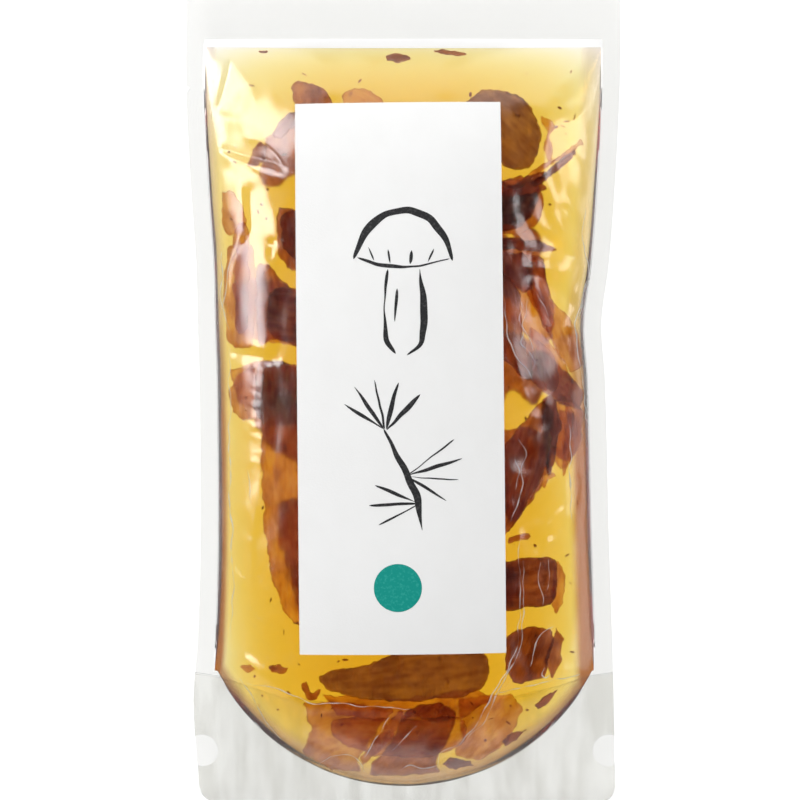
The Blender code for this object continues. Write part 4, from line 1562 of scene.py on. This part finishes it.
@dataclass
class Slices:
    """The slices and shreds of mushroom in the broth."""

    form: PouchForm
    voxel: float = 0.5
    ragged: float = 0.45
    furrow: float = 0.16
    relax: int = 3
    depth_share: float = 0.45
    thickness_share: float = 0.4
    shred_seed: int = 60
    flesh: dict[Tone, bpy.types.Material] = field(default_factory=dict, init=False)

    def roughen(self, mesh: bpy.types.Mesh, seed: int) -> None:
        """Give a slice ragged sides and furrows along its fibres, and mark its rim, which its material paints
        with a glow.

        Args:
            mesh: The even mesh of the slice, in metres.
            seed: Seed of its unevenness.
        """
        count = len(mesh.vertices)
        places, normals = np.zeros(count * 3), np.zeros(count * 3)
        mesh.vertices.foreach_get("co", places)
        mesh.vertices.foreach_get("normal", normals)
        places, normals = places.reshape(-1, 3) / MM, normals.reshape(-1, 3)
        x, y, z = places.T
        side = np.clip(1.0 - np.abs(normals[:, 2]) ** 2, 0.0, 1.0)
        wide = Ripples(seed, 5.5).at(x, y, z)
        fine = Ripples(seed + 100, 1.7).at(x, y, z)
        furrows = Ripples(seed + 200, 1.5, (1.0, 7.0, 1.0)).at(x, y, z)
        shift = side * (0.8 * wide + 0.45 * fine) * self.ragged
        shift = shift + (1.0 - side) * (0.3 * wide * self.ragged + furrows * self.furrow)
        places = places + normals * shift[:, None]
        mesh.vertices.foreach_set("co", (places * MM).ravel())
        # The rim share sets where the painted glow of the thin edges goes
        mark_rim(mesh, smooth_step(side, 0.25, 0.95))
        mark_grain(mesh, places)
        mesh.update()

    def finish(self, mesh: bpy.types.Mesh, name: str, tone: Tone, seed: int) -> bpy.types.Mesh:
        """Turn a plain closed mesh into a finished slice.

        Args:
            mesh: The closed mesh, which is used up.
            name: Name of the slice.
            tone: Its brown.
            seed: Seed of its unevenness.

        Returns:
            Its mesh.
        """
        made = remeshed(mesh, self.voxel, self.relax)
        made.name = name
        made.materials.clear()
        made.materials.append(self.flesh[tone])
        self.roughen(made, seed)
        shade_smooth(made, 80.0)
        return made

    def from_node(self, node: bpy.types.Object, seed: int) -> bpy.types.Object:
        """Make a slice that stands for a packed one.

        Args:
            node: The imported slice.
            seed: Seed of its unevenness.

        Returns:
            Its piece.
        """
        name = node.name + "_flesh"
        tone = SLICE_TONES.get(node.name, Tone.RUSSET)
        return add_piece(self.finish(welded(node, name), name, tone, seed), "brown_mushroom", node.name)

    def shred(self, shred: Shred, seed: int) -> bpy.types.Object:
        """Make a shred that lies under the front film, thinner where the pouch is flat.

        Args:
            shred: The shred.
            seed: Seed of its unevenness.

        Returns:
            Its piece.
        """
        x, y = np.array(on_film(shred.outline)).T
        under = self.form.front_inner(x, y)
        room = under - self.form.mid_plane(y)
        top = under - np.minimum(shred.depth, self.depth_share * room)
        low = top - np.minimum(shred.thickness, self.thickness_share * room)
        points = np.concatenate((grid_points(x, y, top), grid_points(x, y, low)))
        count = len(x)
        sides = [(i, (i + 1) % count, (i + 1) % count + count, i + count) for i in range(count)]
        mesh = bpy.data.meshes.new(shred.name)
        mesh.from_pydata((points * MM).tolist(), [], [range(count), range(count, 2 * count), *sides])
        shape = bmesh.new()
        shape.from_mesh(mesh)
        bmesh.ops.recalc_face_normals(shape, faces=shape.faces)
        shape.to_mesh(mesh)
        shape.free()
        return add_piece(self.finish(mesh, shred.name, shred.tone, seed), "brown_mushroom")

    def build(self, nodes: dict[str, bpy.types.Object]) -> None:
        """Build every slice and shred.

        Args:
            nodes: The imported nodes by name.
        """
        self.flesh = {tone: finish.build() for tone, finish in FLESH.items()}
        slices = sorted(name for name in nodes if "slice" in name or "strip" in name or "piece" in name)
        slices.append("sliver_right_edge")
        for seed, name in enumerate(slices):
            self.from_node(nodes[name], seed)
        for seed, shred in enumerate(SHREDS):
            self.shred(shred, self.shred_seed + seed)


@dataclass
class Crumbs:
    """Specks of mushroom that float under the front film, placed by Geometry Nodes."""

    form: PouchForm
    depth: float = 1.6
    density: float = 9000.0
    size: float = 0.45
    rim: float = 0.3
    seed: int = 5

    def sheet(self) -> bpy.types.Object:
        """Make the hidden sheet in the broth that the specks are scattered over.

        Returns:
            The sheet.
        """
        t = np.linspace(0.05, 0.97, 60)
        s = np.linspace(-0.93, 0.93, 40)
        x, y = self.form.lattice(t, s)
        z = self.form.front_inner(x, y) - self.depth
        points = grid_points(x, y, z)
        rows, columns = x.shape
        index = np.arange(rows * columns).reshape(rows, columns)
        faces = np.stack((index[:-1, :-1], index[1:, :-1], index[1:, 1:], index[:-1, 1:]), axis=-1)
        mesh = bpy.data.meshes.new("crumb_sheet")
        mesh.from_pydata((points.reshape(-1, 3) * MM).tolist(), [], faces.reshape(-1, 4).tolist())
        sheet = bpy.data.objects.new("crumb_sheet", mesh)
        bpy.context.scene.collection.objects.link(sheet)
        return sheet

    def tree(self, material: bpy.types.Material) -> bpy.types.NodeTree:
        """Build the node tree that scatters specks over a sheet.

        Args:
            material: The material of the specks.

        Returns:
            The tree.
        """
        tree = bpy.data.node_groups.new("scatter_crumbs", "GeometryNodeTree")
        face = tree.interface
        face.new_socket("Geometry", in_out="INPUT", socket_type="NodeSocketGeometry")
        face.new_socket("Density", in_out="INPUT", socket_type="NodeSocketFloat")
        face.new_socket("Crumb Size", in_out="INPUT", socket_type="NodeSocketFloat")
        face.new_socket("Seed", in_out="INPUT", socket_type="NodeSocketInt")
        face.new_socket("Geometry", in_out="OUTPUT", socket_type="NodeSocketGeometry")
        new, link = tree.nodes.new, tree.links.new
        entry, leave = new("NodeGroupInput"), new("NodeGroupOutput")
        scatter = new("GeometryNodeDistributePointsOnFaces")
        link(entry.outputs["Geometry"], scatter.inputs["Mesh"])
        link(entry.outputs["Density"], scatter.inputs["Density"])
        link(entry.outputs["Seed"], scatter.inputs["Seed"])
        speck = new("GeometryNodeMeshIcoSphere")
        speck.inputs["Subdivisions"].default_value = 2
        link(entry.outputs["Crumb Size"], speck.inputs["Radius"])
        turn = new("FunctionNodeRandomValue")
        turn.data_type = "FLOAT_VECTOR"
        turn.inputs["Max"].default_value = (math.tau, math.tau, math.tau)
        grow = new("FunctionNodeRandomValue")
        grow.data_type = "FLOAT_VECTOR"
        grow.inputs["Min"].default_value = (0.25, 0.4, 0.2)
        grow.inputs["Max"].default_value = (1.1, 2.4, 0.8)
        place = new("GeometryNodeInstanceOnPoints")
        link(scatter.outputs["Points"], place.inputs["Points"])
        link(speck.outputs["Mesh"], place.inputs["Instance"])
        link(turn.outputs["Value"], place.inputs["Rotation"])
        link(grow.outputs["Value"], place.inputs["Scale"])
        real = new("GeometryNodeRealizeInstances")
        link(place.outputs["Instances"], real.inputs["Geometry"])
        paint = new("GeometryNodeSetMaterial")
        paint.inputs["Material"].default_value = material
        link(real.outputs["Geometry"], paint.inputs["Geometry"])
        link(paint.outputs["Geometry"], leave.inputs["Geometry"])
        return tree

    def build(self, material: bpy.types.Material) -> bpy.types.Object:
        """Scatter the specks and make them one plain mesh.

        Args:
            material: The material of the specks.

        Returns:
            Their piece.
        """
        sheet = self.sheet()
        tree = self.tree(material)
        scatter = sheet.modifiers.new("scatter", "NODES")
        scatter.node_group = tree
        sockets = {item.name: item.identifier for item in tree.interface.items_tree if item.in_out == "INPUT"}
        scatter[sockets["Density"]] = self.density
        scatter[sockets["Crumb Size"]] = self.size * MM
        scatter[sockets["Seed"]] = self.seed
        made = evaluated_mesh(sheet)
        made.name = "crumbs"
        bpy.data.objects.remove(sheet)
        mark_rim(made, np.full(len(made.vertices), self.rim))
        places = np.zeros(len(made.vertices) * 3)
        made.vertices.foreach_get("co", places)
        mark_grain(made, places.reshape(-1, 3) / MM)
        shade_smooth(made, 80.0)
        return add_piece(made, "brown_mushroom")


@dataclass
class Label:
    """The white paper label on the front film, without its print."""

    creasing: Creasing
    thickness: float = 0.3
    lift: float = 0.08
    columns: int = 60
    rows: int = 160

    def build(self) -> bpy.types.Object:
        """Build the label as a closed sheet that lies on the film.

        Returns:
            Its piece.
        """
        across = np.linspace(-0.5, 0.5, self.columns + 1) * LABEL_SIZE[0]
        down = np.linspace(0.5, -0.5, self.rows + 1) * LABEL_SIZE[1]
        v, u = np.meshgrid(down, across, indexing="ij")
        cos, sin = math.cos(LABEL_TURN), math.sin(LABEL_TURN)
        x = LABEL_CENTRE[0] + cos * u - sin * v
        y = LABEL_CENTRE[1] + sin * u + cos * v
        lower = grid_points(x, y, self.creasing.outer(x, y) + self.lift)
        upper = lower + grid_normals(lower) * self.thickness
        mesh = shell_mesh("paper_label_sheet", upper, lower)
        shade_smooth(mesh, 50.0)
        mesh.materials.append(PaperFinish().build())
        return add_piece(mesh, "label_paper", "paper_label")


# Brush strokes of the label's drawing of a mushroom and a pine twig: width and line
STROKES = (
    (2.4, ((-13.6, 37.0), (-10.6, 44.4), (-5.0, 49.4), (1.4, 50.6), (7.4, 48.0), (11.6, 42.6), (13.2, 36.6))),
    (1.3, ((-12.6, 37.4), (-6.6, 35.4), (0.0, 34.8), (6.8, 35.6), (12.4, 37.2))),
    (0.7, ((-8.0, 36.6), (-9.6, 40.2))),
    (0.7, ((-3.6, 35.8), (-4.2, 39.6))),
    (0.7, ((1.6, 35.6), (2.0, 39.4))),
    (0.7, ((6.6, 36.2), (8.2, 39.8))),
    (1.9, ((-4.4, 34.2), (-5.4, 25.0), (-4.8, 14.6), (-2.2, 11.4))),
    (1.7, ((4.2, 34.2), (5.6, 24.0), (5.0, 14.0), (0.8, 11.0))),
    (0.8, ((-1.8, 29.0), (-2.4, 20.0))),
    (1.9, ((-5.4, -9.0), (-1.2, -17.4), (3.6, -27.0), (5.0, -36.4))),
    (1.1, ((-5.4, -9.0), (-16.2, -2.4))),
    (1.1, ((-5.4, -9.0), (-13.4, 2.4))),
    (1.1, ((-5.0, -9.0), (-8.0, 4.2))),
    (1.1, ((-4.8, -9.0), (-1.6, 3.6))),
    (1.1, ((-4.6, -9.4), (4.4, 0.4))),
    (1.0, ((1.0, -21.4), (13.6, -11.8))),
    (1.0, ((1.2, -21.6), (15.8, -17.0))),
    (1.0, ((1.4, -22.0), (14.8, -22.8))),
    (1.0, ((1.4, -22.2), (11.6, -28.4))),
    (0.9, ((3.4, -29.0), (-7.8, -24.2))),
    (0.9, ((3.4, -29.2), (-9.4, -29.6))),
    (0.9, ((3.6, -29.6), (-6.8, -35.0))),
)


@dataclass
class Print:
    """The label's print: a brush drawing in black ink and a round spot in teal."""

    creasing: Creasing
    lift: float
    cover: float = 0.05
    sink: float = 0.1
    step: float = 0.6
    waver: float = 0.12
    swell: float = 16.0
    first_seed: int = 200
    spot_centre: tuple[float, float] = (-1.6, -52.0)
    spot_radius: float = 6.5
    spot_rows: int = 24

    def sheet(self, name: str, x: np.ndarray, y: np.ndarray) -> bpy.types.Mesh:
        """Lay a closed sheet of ink on the paper over a net of points."""
        paper = self.creasing.outer(x, y) + self.lift
        return shell_mesh(name, grid_points(x, y, paper + self.cover), grid_points(x, y, paper - self.sink))

    def build(self) -> list[bpy.types.Object]:
        """Build the drawing and the spot.

        Returns:
            Their pieces.
        """
        strokes = []
        for seed, (width, line) in enumerate(STROKES):
            x, y, _ = brush(line, width, self.step, self.waver, self.first_seed + seed, self.swell)
            strokes.append(self.sheet("stroke", x, y))
        drawing = joined("label_drawing", strokes)
        drawing.materials.append(BLACK_INK.build())
        even = np.linspace(-1.0, 1.0, self.spot_rows + 1)
        v, u = np.meshgrid(-even, even, indexing="ij")
        x = self.spot_centre[0] + self.spot_radius * u * np.sqrt(1.0 - v * v / 2.0)
        y = self.spot_centre[1] + self.spot_radius * v * np.sqrt(1.0 - u * u / 2.0)
        spot = self.sheet("label_spot", x, y)
        shade_smooth(spot, 40.0)
        spot.materials.append(TEAL_INK.build())
        return [add_piece(drawing, "label_paper"), add_piece(spot, "label_paper")]


# The panels beside the key one: middle, the point that each faces, width and length, and glow
PANELS = {
    "corner_panel": ((-555.0, 600.0, 1010.0), (-45.0, 80.0, 12.0), (330.0, 330.0), 10.0),
    "shoulder_panel": ((690.0, 270.0, 780.0), (45.0, 65.0, 12.0), (280.0, 420.0), 4.5),
    "fill_panel": ((1200.0, -100.0, 420.0), (0.0, 0.0, 0.0), (420.0, 900.0), 1.6),
    "head_panel": ((1.0, 1050.0, 720.0), (0.0, 0.0, 0.0), (1500.0, 650.0), 1.6),
    "foot_panel": ((1.0, -1300.0, 450.0), (0.0, 0.0, 0.0), (1500.0, 500.0), 0.8),
}


@dataclass
class Studio:
    """Table, lights and camera."""

    camera_place: Triple = (-1.03, -1.17, 810.0)
    lens: float = 130.7
    floor_half: float = 1500.0
    floor_drop: float = 0.4
    key_strength: float = 10.0
    key_lean: float = 43.5
    key_distance: float = 1000.0
    key_aim: float = -40.0
    key_width: float = 215.0
    key_foot: float = -27.0
    key_head: float = 760.0
    horizon: tuple[float, float] = (0.35, 0.6)
    overhead: tuple[float, float] = (0.75, 0.01)

    def floor(self) -> None:
        """Make the white table top."""
        mesh = bpy.data.meshes.new("table")
        half = self.floor_half * MM
        corners = [(-half, -half), (half, -half), (half, half), (-half, half)]
        mesh.from_pydata([(x, y, -self.floor_drop * MM) for x, y in corners], [], [(0, 1, 2, 3)])
        mesh.materials.append(FloorFinish().build())
        table = bpy.data.objects.new("table", mesh)
        bpy.context.scene.collection.objects.link(table)

    def panel(self, name: str, place: Triple, aim: Triple, size: tuple[float, float], glow: float) -> None:
        """Hang a soft light panel.

        Args:
            name: Name of the light.
            place: Its middle, in millimetres.
            aim: The point that it faces.
            size: Its width, and its length along Y.
            glow: Brightness of its face, where 1 is white paper.
        """
        data = bpy.data.lights.new(name, "AREA")
        data.shape = "RECTANGLE"
        data.size, data.size_y = size[0] * MM, size[1] * MM
        data.energy = glow * math.pi * data.size * data.size_y
        light = bpy.data.objects.new(name, data)
        bpy.context.scene.collection.objects.link(light)
        back = np.array(place) - np.array(aim)
        back /= np.linalg.norm(back)
        up = np.array((0.0, 1.0, 0.0)) if abs(back[0]) > abs(back[1]) else np.array((0.0, 0.0, 1.0))
        across = np.cross(up, back)
        across /= np.linalg.norm(across)
        up = np.cross(back, across)
        matrix = np.eye(4)
        matrix[:3, 0], matrix[:3, 1], matrix[:3, 2] = across, up, back
        matrix[:3, 3] = np.array(place) * MM
        light.matrix_world = Matrix(matrix.tolist())

    def lights(self) -> None:
        """Hang the strong key panel on the left, and the others of the list."""
        lean = math.radians(self.key_lean)
        middle = (self.key_foot + self.key_head) / 2.0
        aside, above = self.key_distance * math.sin(lean), self.key_distance * math.cos(lean)
        place, aim = (self.key_aim - aside, middle, above), (self.key_aim, middle, 0.0)
        size = (self.key_width, self.key_head - self.key_foot)
        self.panel("key_panel", place, aim, size, self.key_strength)
        for name, panel in PANELS.items():
            self.panel(name, *panel)

    def world(self) -> None:
        """Make the surroundings: pale all round, and dim straight overhead."""
        world = bpy.data.worlds.new("studio")
        bpy.context.scene.world = world
        world.use_nodes = True
        tree = world.node_tree
        background = tree.nodes["Background"]
        background.inputs["Color"].default_value = (1.0, 1.0, 1.0, 1.0)
        place = tree.nodes.new("ShaderNodeTexCoord")
        split = tree.nodes.new("ShaderNodeSeparateXYZ")
        height = tree.nodes.new("ShaderNodeMapRange")
        for end, (rise, glow) in (("Min", self.horizon), ("Max", self.overhead)):
            height.inputs["From " + end].default_value = rise
            height.inputs["To " + end].default_value = glow
        tree.links.new(place.outputs["Generated"], split.inputs["Vector"])
        tree.links.new(split.outputs["Z"], height.inputs["Value"])
        tree.links.new(height.outputs["Result"], background.inputs["Strength"])

    def camera(self) -> None:
        """Place the camera straight above the pouch."""
        data = bpy.data.cameras.new("camera")
        data.lens = self.lens
        data.sensor_width = 36.0
        data.clip_start, data.clip_end = 0.01, 20.0
        camera = bpy.data.objects.new("camera", data)
        bpy.context.scene.collection.objects.link(camera)
        camera.location = [c * MM for c in self.camera_place]
        bpy.context.scene.camera = camera

    def build(self) -> None:
        """Build the studio and set how light is shown."""
        self.floor()
        self.lights()
        self.world()
        self.camera()
        scene = bpy.context.scene
        scene.view_settings.view_transform = "Standard"
        scene.cycles.max_bounces = 24
        scene.cycles.transmission_bounces = 20
        scene.cycles.transparent_max_bounces = 16


def main() -> None:
    """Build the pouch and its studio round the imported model."""
    logging.basicConfig(level=logging.INFO, format="%(message)s")
    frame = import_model()
    form = PouchForm()
    creasing = Creasing(form)
    Films(form, creasing).build(frame["nodes"])
    Broth(form, creasing).build()
    slices = Slices(form)
    slices.build(frame["nodes"])
    Crumbs(form).build(slices.flesh[Tone.DEEP])
    Folds(creasing).build()
    label = Label(creasing)
    label.build()
    Print(creasing, label.lift + label.thickness).build()
    Studio().build()


if __name__ == "__main__":
    main()
